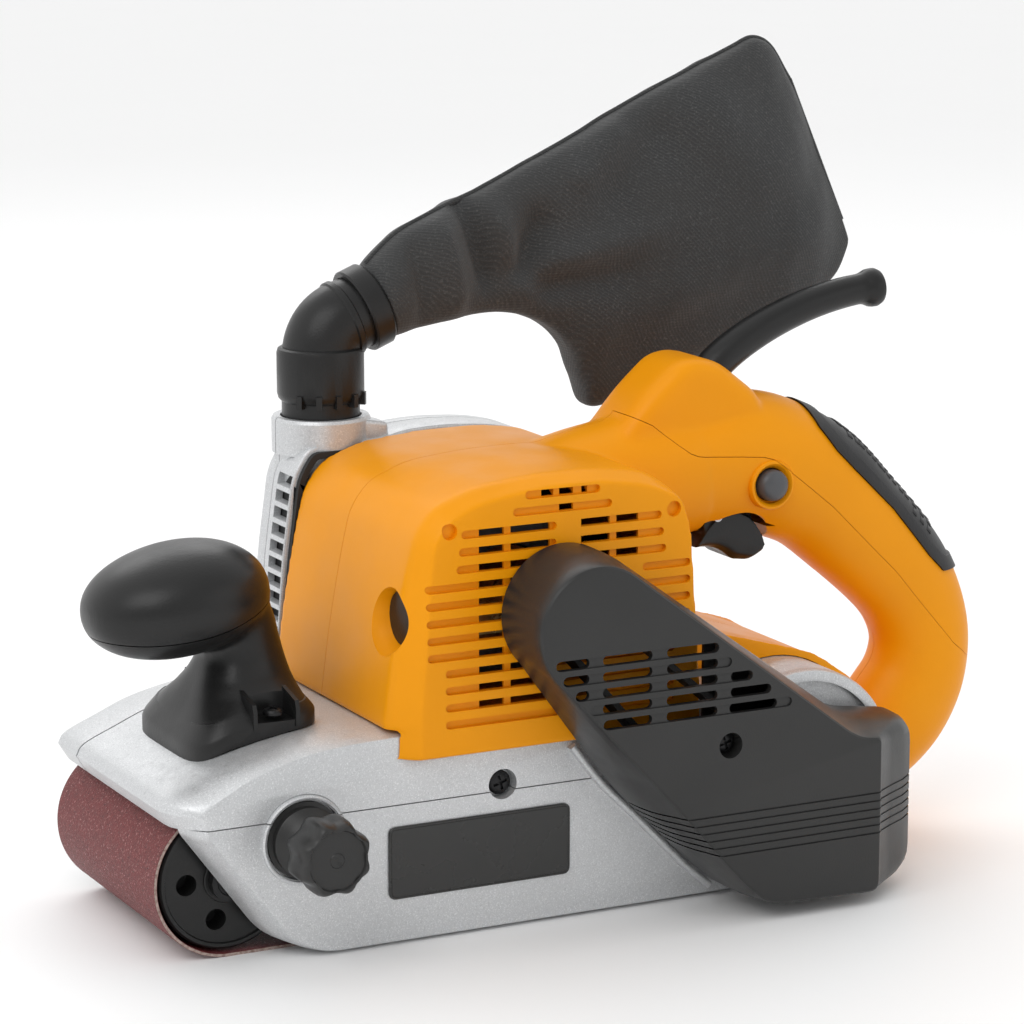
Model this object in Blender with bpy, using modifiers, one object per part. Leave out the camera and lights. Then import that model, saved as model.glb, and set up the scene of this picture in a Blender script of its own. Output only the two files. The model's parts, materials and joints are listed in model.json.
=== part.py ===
"""Handheld belt sander with a 100 x 610 mm abrasive belt, as separate solids.

Units are metres, +Z is up. The nose of the machine points along -X, the drive-belt
cover is on the -Y side, and the origin is the centre of the belt's flat underside.
Lengths in the code are written in millimetres and scaled by MM.
"""
import math

import bmesh
import bpy
from mathutils import Matrix, Vector

MM = 0.001
GAP = 0.3                       # clearance between two pieces that touch

# Abrasive belt and rollers
BELT_LENGTH = 610.0
BELT_WIDTH = 100.0
BELT_THICK = 1.5
ROLLER_R = 29.0                 # outer radius of the belt round a roller
ROLLER_SPAN = (BELT_LENGTH - 2 * math.pi * ROLLER_R) / 2
X_FRONT = -ROLLER_SPAN / 2      # front roller axis
X_REAR = ROLLER_SPAN / 2        # drive roller axis
Z_AXLE = ROLLER_R
BELT_HALF = BELT_WIDTH / 2

# Castings
Y_SIDE = -66.7                  # outer face of the side castings
Y_WALL = -54.0                  # inner face of the side castings
Y_OPEN = 52.0                   # open side, where the belt slides off
Z_PARTING = 53.7                # joint between the upper and lower casting
Z_DECK = 81.0
REAR_ARC = (127.0, 44.5, 40.0)  # x, z and radius of the round rear end

# Motor
MOTOR_X, MOTOR_Z = 17.0, 118.0
Y_PANEL = -72.0                 # face of the vented panel
Y_SPLIT = -8.0                  # joint between the two housing shells
Y_FAN = 36.0                    # where the plastic housing meets the fan case
Y_FAN_END = 66.0

# Handle
Y_HANDLE = -9.0
HANDLE_W = 42.0

# Drive-belt cover
Y_COVER = -106.0
COVER_WALL = 2.5

# Dust outlet
SPOUT_X, SPOUT_Y = -21.0, 56.0
SPOUT_R = 19.0
TUBE_R = 15.0

# Grip
GRIP_Y = -12.0

PARTS = bpy.data.collections.new("belt_sander")


# ---------------------------------------------------------------- helpers

def material(name, color, roughness, metallic=0.0):
    """A plain Principled material."""
    mat = bpy.data.materials.new(name)
    mat.use_nodes = True
    shader = mat.node_tree.nodes["Principled BSDF"]
    shader.inputs["Base Color"].default_value = (*color, 1.0)
    shader.inputs["Roughness"].default_value = roughness
    shader.inputs["Metallic"].default_value = metallic
    mat.diffuse_color = (*color, 1.0)
    return mat


def arc(cx, cz, r, start, end, steps):
    """Points on a circle from one angle to another, in degrees."""
    points = []
    for i in range(steps + 1):
        a = math.radians(start + (end - start) * i / steps)
        points.append((cx + r * math.cos(a), cz + r * math.sin(a)))
    return points


def link(obj, collection):
    for old in obj.users_collection:
        old.objects.unlink(obj)
    collection.objects.link(obj)


def finish(obj, name, mat, smooth=35.0):
    """Name a piece, give it its material and file it with the parts."""
    obj.name = name
    obj.data.name = name
    obj.data.materials.clear()
    obj.data.materials.append(mat)
    obj.data.shade_smooth()
    obj.data.set_sharp_from_angle(angle=math.radians(smooth))
    link(obj, PARTS)
    return obj


def mesh_object(mesh, name="piece"):
    obj = bpy.data.objects.new(name, mesh)
    bpy.context.scene.collection.objects.link(obj)
    return obj


def curve_to_mesh(obj):
    """Turn a curve object into a welded mesh object in the same place."""
    graph = bpy.context.evaluated_depsgraph_get()
    mesh = bpy.data.meshes.new_from_object(obj.evaluated_get(graph))
    mesh.transform(obj.matrix_world)
    bm = bmesh.new()
    bm.from_mesh(mesh)
    bmesh.ops.remove_doubles(bm, verts=bm.verts, dist=1e-6)
    bmesh.ops.recalc_face_normals(bm, faces=bm.faces)
    bm.to_mesh(mesh)
    bm.free()
    bpy.data.objects.remove(obj)
    return mesh_object(mesh)


def plate(outlines, low, high, axis="Y"):
    """Extrude flat outlines between two heights along an axis.

    The first outline is the rim and the others are holes. Along Y the outline is in
    X and Z, along Z in X and Y, and along X in Y and Z.
    """
    curve = bpy.data.curves.new("outline", "CURVE")
    curve.dimensions = "2D"
    curve.fill_mode = "BOTH"
    curve.extrude = (high - low) / 2 * MM
    for outline in outlines:
        spline = curve.splines.new("POLY")
        spline.points.add(len(outline) - 1)
        for point, (u, v) in zip(spline.points, outline):
            point.co = (u * MM, v * MM, 0.0, 1.0)
        spline.use_cyclic_u = True
    obj = bpy.data.objects.new("outline", curve)
    bpy.context.scene.collection.objects.link(obj)
    middle = (low + high) / 2 * MM
    turns = {
        "Z": Matrix.Translation((0, 0, middle)),
        "Y": Matrix.Translation((0, middle, 0)) @ Matrix.Rotation(math.pi / 2, 4, "X"),
        "X": Matrix.Translation((middle, 0, 0)) @ Matrix(
            ((0, 0, 1, 0), (1, 0, 0, 0), (0, 1, 0, 0), (0, 0, 0, 1))),
    }
    obj.matrix_world = turns[axis]
    bpy.context.view_layer.update()
    return curve_to_mesh(obj)


def box(x, y, z):
    """A box between pairs of limits."""
    bpy.ops.mesh.primitive_cube_add(size=1.0)
    obj = bpy.context.object
    size = [(b - a) * MM for a, b in (x, y, z)]
    centre = [(a + b) / 2 * MM for a, b in (x, y, z)]
    obj.data.transform(Matrix.Translation(centre) @ Matrix.Diagonal((*size, 1.0)))
    return obj


def turned(profile, centre, axis="Y", steps=32):
    """Turn a closed profile of (radius, height) points about an axis."""
    bm = bmesh.new()
    verts = [bm.verts.new((r * MM, 0.0, h * MM)) for r, h in profile]
    for a, b in zip(verts, verts[1:] + verts[:1]):
        if a.co.x > 0 or b.co.x > 0:
            bm.edges.new((a, b))
    bmesh.ops.spin(bm, geom=bm.verts[:] + bm.edges[:], cent=(0, 0, 0), axis=(0, 0, 1),
                   angle=2 * math.pi, steps=steps, use_merge=True)
    bmesh.ops.remove_doubles(bm, verts=bm.verts, dist=1e-6)
    bmesh.ops.recalc_face_normals(bm, faces=bm.faces)
    mesh = bpy.data.meshes.new("turned")
    bm.to_mesh(mesh)
    bm.free()
    turn = {"Z": Matrix(), "Y": Matrix.Rotation(-math.pi / 2, 4, "X"),
            "X": Matrix.Rotation(math.pi / 2, 4, "Y")}[axis]
    mesh.transform(Matrix.Translation(Vector(centre) * MM) @ turn)
    return mesh_object(mesh)


def rod(r, low, high, centre, axis="Y", steps=24):
    """A round bar; centre gives the two other coordinates and a 0 along the axis."""
    bpy.ops.mesh.primitive_cylinder_add(vertices=steps, radius=r * MM, depth=(high - low) * MM)
    obj = bpy.context.object
    turn = {"Z": Matrix(), "Y": Matrix.Rotation(-math.pi / 2, 4, "X"),
            "X": Matrix.Rotation(math.pi / 2, 4, "Y")}[axis]
    along = {"X": (1, 0, 0), "Y": (0, 1, 0), "Z": (0, 0, 1)}[axis]
    shift = (Vector(centre) + Vector(along) * (low + high) / 2) * MM
    obj.data.transform(Matrix.Translation(shift) @ turn)
    return obj


def ring(r_out, r_in, low, high, centre, axis="Y", steps=24):
    """A round sleeve."""
    profile = [(r_out, high), (r_out, low), (r_in, low), (r_in, high)]
    return turned(profile, centre, axis, steps)


def tube(points, radius, resolution=3):
    """A round bar along a path of points."""
    curve = bpy.data.curves.new("path", "CURVE")
    curve.dimensions = "3D"
    curve.bevel_depth = radius * MM
    curve.bevel_resolution = resolution
    curve.use_fill_caps = True
    spline = curve.splines.new("POLY")
    spline.points.add(len(points) - 1)
    for point, co in zip(spline.points, points):
        point.co = (*[c * MM for c in co], 1.0)
    obj = bpy.data.objects.new("path", curve)
    bpy.context.scene.collection.objects.link(obj)
    bpy.context.view_layer.update()
    return curve_to_mesh(obj)


def apply_modifiers(obj):
    """Replace an object's mesh with its evaluated mesh."""
    graph = bpy.context.evaluated_depsgraph_get()
    mesh = bpy.data.meshes.new_from_object(obj.evaluated_get(graph))
    obj.modifiers.clear()
    old = obj.data
    obj.data = mesh
    bpy.data.meshes.remove(old)


def combine(obj, other, operation):
    """Apply a Boolean with another object, which is then removed."""
    mod = obj.modifiers.new(operation.lower(), "BOOLEAN")
    mod.operation = operation
    mod.solver = "EXACT"
    mod.object = other
    bpy.context.view_layer.update()
    apply_modifiers(obj)
    bpy.data.objects.remove(other)
    return obj


def cut(obj, *cutters):
    for cutter in cutters:
        combine(obj, cutter, "DIFFERENCE")
    return obj


def join(obj, *others):
    for other in others:
        combine(obj, other, "UNION")
    return obj


def bevel(obj, width, segments=2, angle=40.0):
    mod = obj.modifiers.new("bevel", "BEVEL")
    mod.width = width * MM
    mod.segments = segments
    mod.limit_method = "ANGLE"
    mod.angle_limit = math.radians(angle)
    mod.use_clamp_overlap = True
    bpy.context.view_layer.update()
    apply_modifiers(obj)
    return obj


def copy_of(obj):
    other = bpy.data.objects.new(obj.name, obj.data.copy())
    bpy.context.scene.collection.objects.link(other)
    return other


def set_origin(obj, point):
    """Put an object's origin on its joint without moving its mesh."""
    place = Vector(point) * MM
    obj.data.transform(Matrix.Translation(-place))
    obj.location = place
    return obj


def inset(outline, distance):
    """Move every side of a flat outline inwards by the same distance."""
    area = sum(a[0] * b[1] - b[0] * a[1] for a, b in zip(outline, outline[1:] + outline[:1]))
    side = 1.0 if area > 0 else -1.0
    result = []
    count = len(outline)
    for i in range(count):
        before, here, after = (Vector(outline[(i + k) % count]) for k in (-1, 0, 1))
        d1 = (here - before).normalized()
        d2 = (after - here).normalized()
        n1 = Vector((-d1.y, d1.x)) * side
        n2 = Vector((-d2.y, d2.x)) * side
        middle = (n1 + n2) / (1.0 + n1.dot(n2))
        result.append(tuple(here + middle * distance))
    return result


# ---------------------------------------------------------------- shared outlines (x, z)

def belt_loop(r, steps=14):
    """The path round both rollers."""
    return (arc(X_REAR, Z_AXLE, r, -90, 90, steps)
            + arc(X_FRONT, Z_AXLE, r, 90, 270, steps))


def deck_line(lift=0.0):
    """Top of the hood from the nose to the flat deck."""
    points = [(-135.0, 59.4), (-131.5, 63.5), (-120.0, 67.5), (-104.0, 75.0),
              (-82.0, 79.4), (-60.0, Z_DECK)]
    return [(x, z + lift) for x, z in points]


def rear_line(r, start, end, steps):
    x, z, _ = REAR_ARC
    return arc(x, z, r, start, end, steps)


def cover_outline():
    """Outer outline of the drive-belt cover."""
    return (arc(MOTOR_X, 120.5, 25.5, 52, 216, 12)
            + [(34.0, 55.5), (80.0, 8.0), (86.0, 5.0), (144.0, 5.0), (155.0, 10.0),
               (160.0, 20.0), (160.0, 55.0), (152.0, 64.0), (140.0, 67.0), (128.0, 67.6)])


HANDLE_PATH = [                # x, z and half thickness of the hand grip, top to foot
    (66.0, 150.0, 24.0), (90.0, 153.0, 25.0), (112.0, 155.5, 26.0), (132.0, 154.5, 27.5),
    (148.0, 149.0, 26.5), (163.7, 140.6, 24.8), (178.2, 127.6, 24.0), (199.0, 107.3, 23.3),
    (209.5, 93.0, 23.0), (214.6, 76.5, 23.0), (212.0, 60.0, 23.5), (203.0, 46.0, 24.0),
    (196.0, 38.0, 22.0)]
SEAM = [                       # joint of the two shells on the near flank of the handle
    (62.0, 190.0), (68.7, 184.1), (85.0, 176.9), (95.3, 169.0), (103.0, 163.6),
    (117.7, 162.3), (132.7, 162.2), (161.0, 144.1), (193.0, 116.6), (223.0, 80.0),
    (231.4, 71.8), (262.0, 62.0)]
GUARD_PATH = [                 # centre line of the cord guard
    (108.5, 181.0), (112.5, 188.0), (118.5, 195.6), (128.0, 202.5), (139.0, 208.4),
    (150.0, 213.0), (161.0, 216.6), (172.0, 219.2), (183.0, 220.9), (191.0, 221.2)]
PAD_EDGE = [                   # lower edge of the soft pad on the back of the handle
    (146.0, 181.0), (150.0, 168.0), (157.0, 159.5), (167.0, 151.0), (188.0, 133.0),
    (208.0, 112.0), (216.0, 106.0), (232.0, 106.0)]


# ---------------------------------------------------------------- castings

def make_main_frame(mat):
    """Upper casting: hood, deck, upper side wall and round rear guard."""
    rim = ([(-129.0, 51.5)] + deck_line() + rear_line(REAR_ARC[2], 114, -60, 16)
           + [(137.0, 5.0), (-129.0, 5.0)])
    belt_space = (arc(X_REAR, Z_AXLE, ROLLER_R + 4.0, -40, 90, 12)
                  + arc(X_FRONT, Z_AXLE, ROLLER_R + 2.2, 90, 132, 5)
                  + [(-140.0, 45.0), (-140.0, -5.0), (138.0, -5.0)])
    frame = plate([rim], Y_SIDE, Y_OPEN)
    below = box((-200, 200), (Y_SIDE - 5, Y_WALL + 0.2), (-10, Z_PARTING))
    recess = rod(5.8, Y_SIDE - 2, Y_SIDE + 6.0, (-3.6, 0, 56.0))
    cut(frame, plate([belt_space], Y_WALL, Y_OPEN + 5), below, recess)
    return finish(frame, "main_frame", mat)


def make_side_frame(mat):
    """Lower casting: side wall, boss of the tracking knob and the beam inside the belt."""
    top = Z_PARTING - GAP
    outline = ([(-128.8, top), (-97.0, 8.0)] + arc(-84.0, 12.8, 12.0, 210, 270, 4)
               + [(110.0, 0.8), (134.0, 4.0), (152.0, 13.5), (163.0, 28.0), (166.0, top)])
    frame = plate([outline], Y_SIDE, Y_WALL)
    boss = rod(13.6, Y_SIDE - 3.5, Y_SIDE + 2, (-84, 0, 45.5), steps=32)
    cut(boss, box((-110, -60), (-80, -50), (top, 70)))
    beam = box((-31, 74), (Y_WALL - 3, 46), (8, 21))
    seat = box((-6, 2), (-13, 13), (20, 41))
    join(frame, boss, beam, seat)
    cut(frame,
        rod(5.8, Y_SIDE - 2, Y_SIDE + 6.0, (-3.6, 0, 56.0)),
        rod(5.2, Y_SIDE - 9, Y_WALL + 5, (-84, 0, 45.5)),
        rod(14.3, Y_SIDE - 5, Y_WALL + 5, (X_REAR, 0, Z_AXLE), steps=32),
        rod(4.0, -20, 20, (0, 0, 29), axis="X", steps=16))
    return finish(frame, "side_frame", mat)


def make_platen(steel, cork):
    sole = plate([[(-66, 2.0), (66, 2.0), (76, 3.6), (76, 4.8), (-76, 4.8), (-76, 3.6)]],
                 -47, 47)
    finish(sole, "sole_plate", steel)
    finish(box((-66, 66), (-46, 46), (5.1, 7.7)), "sole_pad", cork)


def make_fan_case(mat):
    """Two-part fan case with air louvres and the dust spout."""
    outline = [(76.0, Z_DECK + GAP), (76.0, 148.0), (72.0, 160.0), (58.0, 167.5), (42.0, 170.8),
               (22.0, 172.0), (6.0, 171.0), (-3.0, 168.0), (-36.5, 168.0), (-41.0, 158.0),
               (-45.5, 125.0), (-49.0, Z_DECK + GAP)]
    case = plate([outline], Y_FAN + GAP, Y_FAN_END)
    spout = rod(SPOUT_R, 160.0, 177.0, (SPOUT_X, SPOUT_Y, 0), axis="Z", steps=32)
    join(bevel(case, 2.5), spout)
    cut(case,
        rod(TUBE_R + 0.4, 135.0, 178.0, (SPOUT_X, SPOUT_Y, 0), axis="Z", steps=32),
        plate([inset(outline, 3.0)], Y_FAN - 2, Y_FAN_END - 3.0))
    for i in range(7):
        z = 146.0 - 6.2 * i
        cut(case, box((-60, -36), (40, 53), (z - 1.7, z + 1.7)))
    far = copy_of(case)
    cut(case, box((-100, 120), (SPOUT_Y - GAP / 2, 100), (50, 220)))
    cut(far, box((-100, 120), (20, SPOUT_Y + GAP / 2), (50, 220)))
    finish(case, "fan_case", mat)
    finish(far, "fan_case_cover", mat)


# ---------------------------------------------------------------- housing shells

def handle_sweep(grow, first=0, last=None):
    """Oval bar along the hand grip, wider or narrower than the grip by grow."""
    last = len(HANDLE_PATH) if last is None else last
    curve = bpy.data.curves.new("grip", "CURVE")
    curve.dimensions = "3D"
    curve.bevel_depth = MM
    curve.bevel_resolution = 4
    curve.use_fill_caps = True
    spline = curve.splines.new("POLY")
    rows = HANDLE_PATH[first:last]
    spline.points.add(len(rows) - 1)
    for point, (x, z, r) in zip(spline.points, rows):
        point.co = (x * MM, 0.0, z * MM, 1.0)
        point.radius = r + grow
    obj = bpy.data.objects.new("grip", curve)
    bpy.context.scene.collection.objects.link(obj)
    bpy.context.view_layer.update()
    sweep = curve_to_mesh(obj)
    flatten = Matrix.Diagonal((1.0, HANDLE_W / 50.0, 1.0, 1.0))
    sweep.data.transform(Matrix.Translation((0, Y_HANDLE * MM, 0)) @ flatten)
    return sweep


def vent_slots():
    """Boxes that cut the air slots of the panel."""
    slots = [((3, 34), 165.3), ((-2, 39), 159.4)]
    for row in range(12):
        z = 153.0 - 6.4 * row
        if row < 3:
            spans = [(-23, 16), (26, 60)]
        elif row < 8:
            spans = [(-35, 16), (26, 70)]
        else:
            spans = [(-28, 16), (26, 66)]
        slots += [(span, z) for span in spans]
    return [box(span, (Y_PANEL - 2, Y_PANEL + 6), (z - 1.6, z + 1.6)) for span, z in slots]


def make_housing(orange, soft):
    """Both halves of the motor housing with the rear handle."""
    low = Z_DECK + GAP
    block_line = [(-50.5, low), (-48.0, 100.0), (-43.0, 136.0), (-38.5, 154.0),
                  (-33.0, 162.0), (-22.0, 168.5), (0.0, 171.5), (20.0, 172.5), (56.0, 172.0),
                  (66.0, 168.0), (72.0, 157.0), (75.5, 136.0), (79.0, low)]
    body = bevel(plate([block_line], Y_PANEL, Y_FAN), 5.0, angle=60)
    skirt = plate([[(-50.5, low + 6), (-51.0, 70.0), (79.0, 68.0), (79.0, low + 6)]],
                  Y_PANEL, Y_SIDE - GAP)
    saddle_line = ([(74.0, 106.0), (95.0, 99.0), (113.0, 93.5), (130.0, 88.5), (150.0, 80.0),
                    (166.0, 70.0), (178.0, 56.0), (184.0, 38.0), (181.0, 22.0), (172.0, 17.0)]
                   + rear_line(REAR_ARC[2] + GAP, -14, 113.8, 14) + [(74.0, low)])
    saddle = bevel(plate([saddle_line], -42.0, 24.0), 3.0, angle=70)
    hump_line = [(62.0, 169.0), (75.0, 183.0), (82.0, 189.5), (93.5, 199.0), (98.0, 200.8),
                 (104.0, 201.0), (114.0, 198.5), (131.0, 184.5), (140.0, 150.0), (100.0, 140.0),
                 (60.0, 146.0)]
    hump = bevel(plate([hump_line], Y_HANDLE - 16, Y_HANDLE + 16), 6.0, angle=60)
    join(body, skirt, saddle, hump, handle_sweep(0.0))

    cavity = plate([inset(block_line, 3.4)], Y_PANEL + 3.5, Y_FAN + 5)
    pocket = box((106, 162), (Y_HANDLE - 15, Y_HANDLE + 15), (132, 166))
    slot = plate([[(105.5, 110.0), (105.5, 125.0), (108.5, 132.0), (113.2, 140.4), (125.2, 141.6),
                   (137.5, 137.2), (143.2, 127.5), (143.2, 110.0)]], -45, 27)
    wiring = box((60, 110), (Y_HANDLE - 8, Y_HANDLE + 8), (145, 160))
    guard_bore = tube([(x, Y_HANDLE, z) for x, z in [(101.0, 168.0)] + GUARD_PATH[:6]], 7.7)
    button_bore = rod(6.6, -45, -20, (131.5, 0, 150.5))
    brush_bores = [rod(12.8, -60, -30, (0, -55.5, 120.5), axis="X", steps=28),
                   rod(10.4, 60, 90, (0, -55.5, 120.5), axis="X", steps=28)]
    screw_bores = [rod(3.2, Y_PANEL - 2, Y_PANEL + 3, (x, 0, 155.3), steps=16)
                   for x in (-28.6, 65.5)]
    bearing_bore = rod(11.3, Y_PANEL - 5, Y_PANEL + 8, (MOTOR_X, 0, MOTOR_Z), steps=28)
    cut(body, cavity, bearing_bore, pocket, slot, wiring, guard_bore, button_bore,
        *brush_bores, *screw_bores, *vent_slots())
    pad_bed = plate([PAD_EDGE + [(250.0, 106.0), (250.0, 190.0), (150.0, 190.0)]], -45, 30)
    cut(pad_bed, handle_sweep(-2.6, 3, 10))
    cut(body, pad_bed)

    above = SEAM + [(262.0, 240.0), (62.0, 240.0)]
    near = copy_of(body)
    cut(near, box((-100, 300), (Y_SPLIT, 100), (0, 300)),
        plate([[(x, z - GAP) for x, z in above]], -80, Y_SPLIT + 5))
    keep = join(box((-100, 300), (Y_SPLIT + GAP, 100), (0, 300)), plate([above], -80, Y_SPLIT + 5))
    combine(body, keep, "INTERSECT")
    finish(near, "housing_left", orange)
    finish(body, "housing_right", orange)

    pad = plate([[(x, z + 0.3) for x, z in PAD_EDGE]
                 + [(250.0, 106.3), (250.0, 190.0), (150.3, 190.0)]], -45, 30)
    combine(pad, handle_sweep(0.6, 3, 10), "INTERSECT")
    cut(pad, handle_sweep(-2.3, 3, 10))
    finish(pad, "handle_pad", soft)


def make_cover(mat):
    """Cover over the drive belt, open towards the machine."""
    outline = cover_outline()
    cover = bevel(plate([outline], Y_COVER, Y_SIDE - 6.0), 2.5, angle=60)
    cut(cover, plate([[(139.0, Y_COVER - 1), (162.0, Y_COVER - 1), (162.0, Y_COVER + 15)]],
                     0, 90, axis="Z"))
    inner = plate([inset(outline, COVER_WALL)], Y_COVER + COVER_WALL, Y_SIDE)
    cut(inner, plate([[(133.0, Y_COVER), (162.0, Y_COVER), (162.0, Y_COVER + 20)]],
                     0, 90, axis="Z"))
    cut(cover, inner)
    for row in range(5):
        z = 108.5 - 5.4 * row
        for left, right in ((-1 + 4.5 * row, 12), (17, 38), (44, 65), (71, 76 + 4.5 * row)):
            if right - left > 3 and not (left == 71 and row < 2):
                cut(cover, box((left, right), (Y_COVER - 2, Y_COVER + 5), (z - 1.3, z + 1.3)))
    cut(cover, rod(5.0, Y_COVER - 2, Y_COVER + 6, (71.0, 0, 71.0), steps=20))
    finish(cover, "drive_belt_cover", mat)


# ---------------------------------------------------------------- drive

def make_motor(steel, copper, laminations, plastic, brass, carbon):
    def centre(y=0.0):
        return (MOTOR_X, y, MOTOR_Z)
    stator = ring(31.5, 20.0, -30, 24, centre(), steps=32)
    finish(stator, "stator", laminations)
    shaft = join(rod(4.8, -96, 62, centre(), steps=20), rod(6.5, -46, 34, centre(), steps=20))
    finish(set_origin(shaft, (MOTOR_X, 0, MOTOR_Z)), "armature_shaft", steel)
    core = ring(19.2, 6.8, -28, 22, centre(), steps=24)
    finish(set_origin(core, (MOTOR_X, 0, MOTOR_Z)), "armature_core", copper)
    commutator = ring(13.0, 5.1, -62.5, -47, centre(), steps=24)
    finish(set_origin(commutator, (MOTOR_X, 0, MOTOR_Z)), "commutator", brass)
    fan = ring(12.0, 5.1, 40.5, 61.5, centre(), steps=20)
    join(fan, ring(33.0, 11.0, 59.5, 61.5, centre(), steps=28))
    for i in range(9):
        blade = box((10.0, 32.0), (42.0, 60.5), (-0.9, 0.9))
        blade.data.transform(Matrix.Translation(Vector(centre()) * MM)
                             @ Matrix.Rotation(2 * math.pi * i / 9, 4, "Y"))
        join(fan, blade)
    finish(set_origin(fan, (MOTOR_X, 0, MOTOR_Z)), "cooling_fan", plastic)
    for name, low, high in (("motor_bearing_near", -72.0, -66.0),
                            ("motor_bearing_far", 34.6, 40.0)):
        bearing = ring(11.0, 5.1, low, high, centre(), steps=20)
        finish(bearing, name, steel)
    for side, inner, outer in (("front", 3.2, -28.0), ("rear", 30.8, 62.0)):
        low, high = sorted((inner, outer))
        holder = box((low, high), (-60.0, -51.0), (112.0, 124.0))
        cut(holder, box((low - 1, high + 1), (-58.5, -52.5), (114.0, 122.0)))
        finish(holder, "brush_holder_" + side, brass)
        middle = (low + high) / 2
        ends = (low + 0.4, middle) if side == "rear" else (middle, high - 0.4)
        brush = box(ends, (-58.1, -52.9), (114.4, 121.6))
        finish(brush, "brush_" + side, carbon)
    for name, r, low, high in (("brush_cap_front", 10.0, -39.5, -33.0),
                               ("brush_cap_rear", 9.6, 70.0, 76.5)):
        finish(rod(r, low, high, (0, -55.5, 120.5), axis="X", steps=24), name, plastic)


def make_drive(steel, rubber, alloy, grit):
    """Toothed-belt drive and the rear roller."""
    here = (X_REAR, 0, Z_AXLE)
    pinion = ring(8.6, 5.1, -95.5, -80.0, (MOTOR_X, 0, MOTOR_Z), steps=18)
    finish(set_origin(pinion, (MOTOR_X, 0, MOTOR_Z)), "drive_pulley", steel)
    pulley = join(ring(17.4, 7.3, -95.5, -80.0, here, steps=28),
                  ring(12.0, 7.3, -81, -76, here, steps=28))
    finish(set_origin(pulley, here), "driven_pulley", alloy)

    angle = math.degrees(math.atan2(MOTOR_Z - Z_AXLE, MOTOR_X - X_REAR))
    span = math.hypot(MOTOR_Z - Z_AXLE, MOTOR_X - X_REAR)
    loops = []
    for extra in (0.3, 2.5):
        small, large = 8.6 + extra, 17.4 + extra
        lean = math.degrees(math.asin((large - small) / span))
        loops.append(arc(MOTOR_X, MOTOR_Z, small, angle - 90 + lean, angle + 90 - lean, 8)
                     + arc(X_REAR, Z_AXLE, large, angle + 90 - lean, angle + 270 + lean, 14))
    finish(plate([loops[1], loops[0]], -94.0, -81.5), "toothed_belt", rubber)

    shaft = rod(7.0, -97.0, 49.0, here, steps=20)
    finish(set_origin(shaft, here), "drive_shaft", steel)
    core = ring(20.5, 7.3, -48, 48, here, steps=28)
    finish(set_origin(core, here), "drive_roller_core", alloy)
    sleeve = ring(ROLLER_R - BELT_THICK - GAP, 20.8, -49, 49, here, steps=40)
    finish(set_origin(sleeve, here), "drive_roller_sleeve", rubber)
    for name, low, high in (("drive_bearing_near", Y_SIDE + 0.5, -60.5),
                            ("drive_bearing_far", -60.2, Y_WALL + 0.2)):
        finish(ring(14.0, 7.3, low, high, here, steps=24), name, steel)
    belt = plate([belt_loop(ROLLER_R), belt_loop(ROLLER_R - BELT_THICK)], -BELT_HALF, BELT_HALF)
    finish(belt, "abrasive_belt", grit)


def make_front_roller(steel, black, alloy):
    """Front roller in its yoke, on the spring-loaded slide."""
    here = (X_FRONT, 0, Z_AXLE)
    r = ROLLER_R - BELT_THICK - 1.0
    profile = [(r, 48.5), (r, -48.5), (r - 3, -48.5), (r - 3, -46.0), (11.5, -46.0),
               (11.5, -38.0), (7.0, -38.0), (7.0, 38.0), (11.5, 38.0), (11.5, 46.0),
               (r - 3, 46.0), (r - 3, 48.5)]
    roller = turned(profile, here, steps=36)
    for i in range(5):
        a = math.radians(176 + 72 * i)
        hole = rod(3.7, -50, -38, (X_FRONT + 18.3 * math.cos(a), 0, Z_AXLE + 18.3 * math.sin(a)),
                   steps=12)
        cut(roller, hole)
    finish(set_origin(roller, here), "front_roller", black)
    for name, low, high in (("roller_bearing_near", -46.0, -38.3),
                            ("roller_bearing_far", 38.3, 46.0)):
        finish(set_origin(ring(11.2, 5.3, low, high, here, steps=20), here), name, steel)
    axle = rod(5.0, -52.6, 52.6, here, steps=20)
    finish(set_origin(axle, here), "roller_axle", steel)

    pivot = (-68.0, 0, Z_AXLE)
    yoke = box((-76, -62), (-50.5, 50.5), (22.5, 35.5))
    for low, high in ((-52.8, -49.3), (49.3, 52.8)):
        arm = [(-70, 22), (-70, 36)] + arc(X_FRONT, Z_AXLE, 7.5, 60, 300, 10)
        join(yoke, plate([arm], low, high))
    cut(yoke, rod(5.3, -60, 60, here, steps=20),
        rod(3.4, 10, 50, (pivot[0], 0, 0), axis="Z", steps=16))
    finish(set_origin(yoke, pivot), "tracking_yoke", alloy)

    slide = box((-60.5, -40), (-12, 12), (17, 41))
    join(slide, box((-75, -59), (-9, 9), (37, 41)), box((-75, -59), (-9, 9), (17, 21)),
         rod(3.4, -41, 12, (0, 0, 29), axis="X", steps=16))
    cut(slide, rod(3.3, 0, 60, (pivot[0], 0, 0), axis="Z", steps=16))
    finish(slide, "tension_slide", alloy)
    finish(rod(2.9, 16.5, 41.5, (pivot[0], 0, 0), axis="Z", steps=16), "yoke_pin", steel)

    coil = []
    turns, per_turn = 5.5, 8
    count = int(turns * per_turn)
    for i in range(count + 1):
        a = 2 * math.pi * i / per_turn
        coil.append((-38.3 + 30.6 * i / count, 6.4 * math.cos(a), 29 + 6.4 * math.sin(a)))
    finish(tube(coil, 1.1, 2), "tension_spring", steel)


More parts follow.
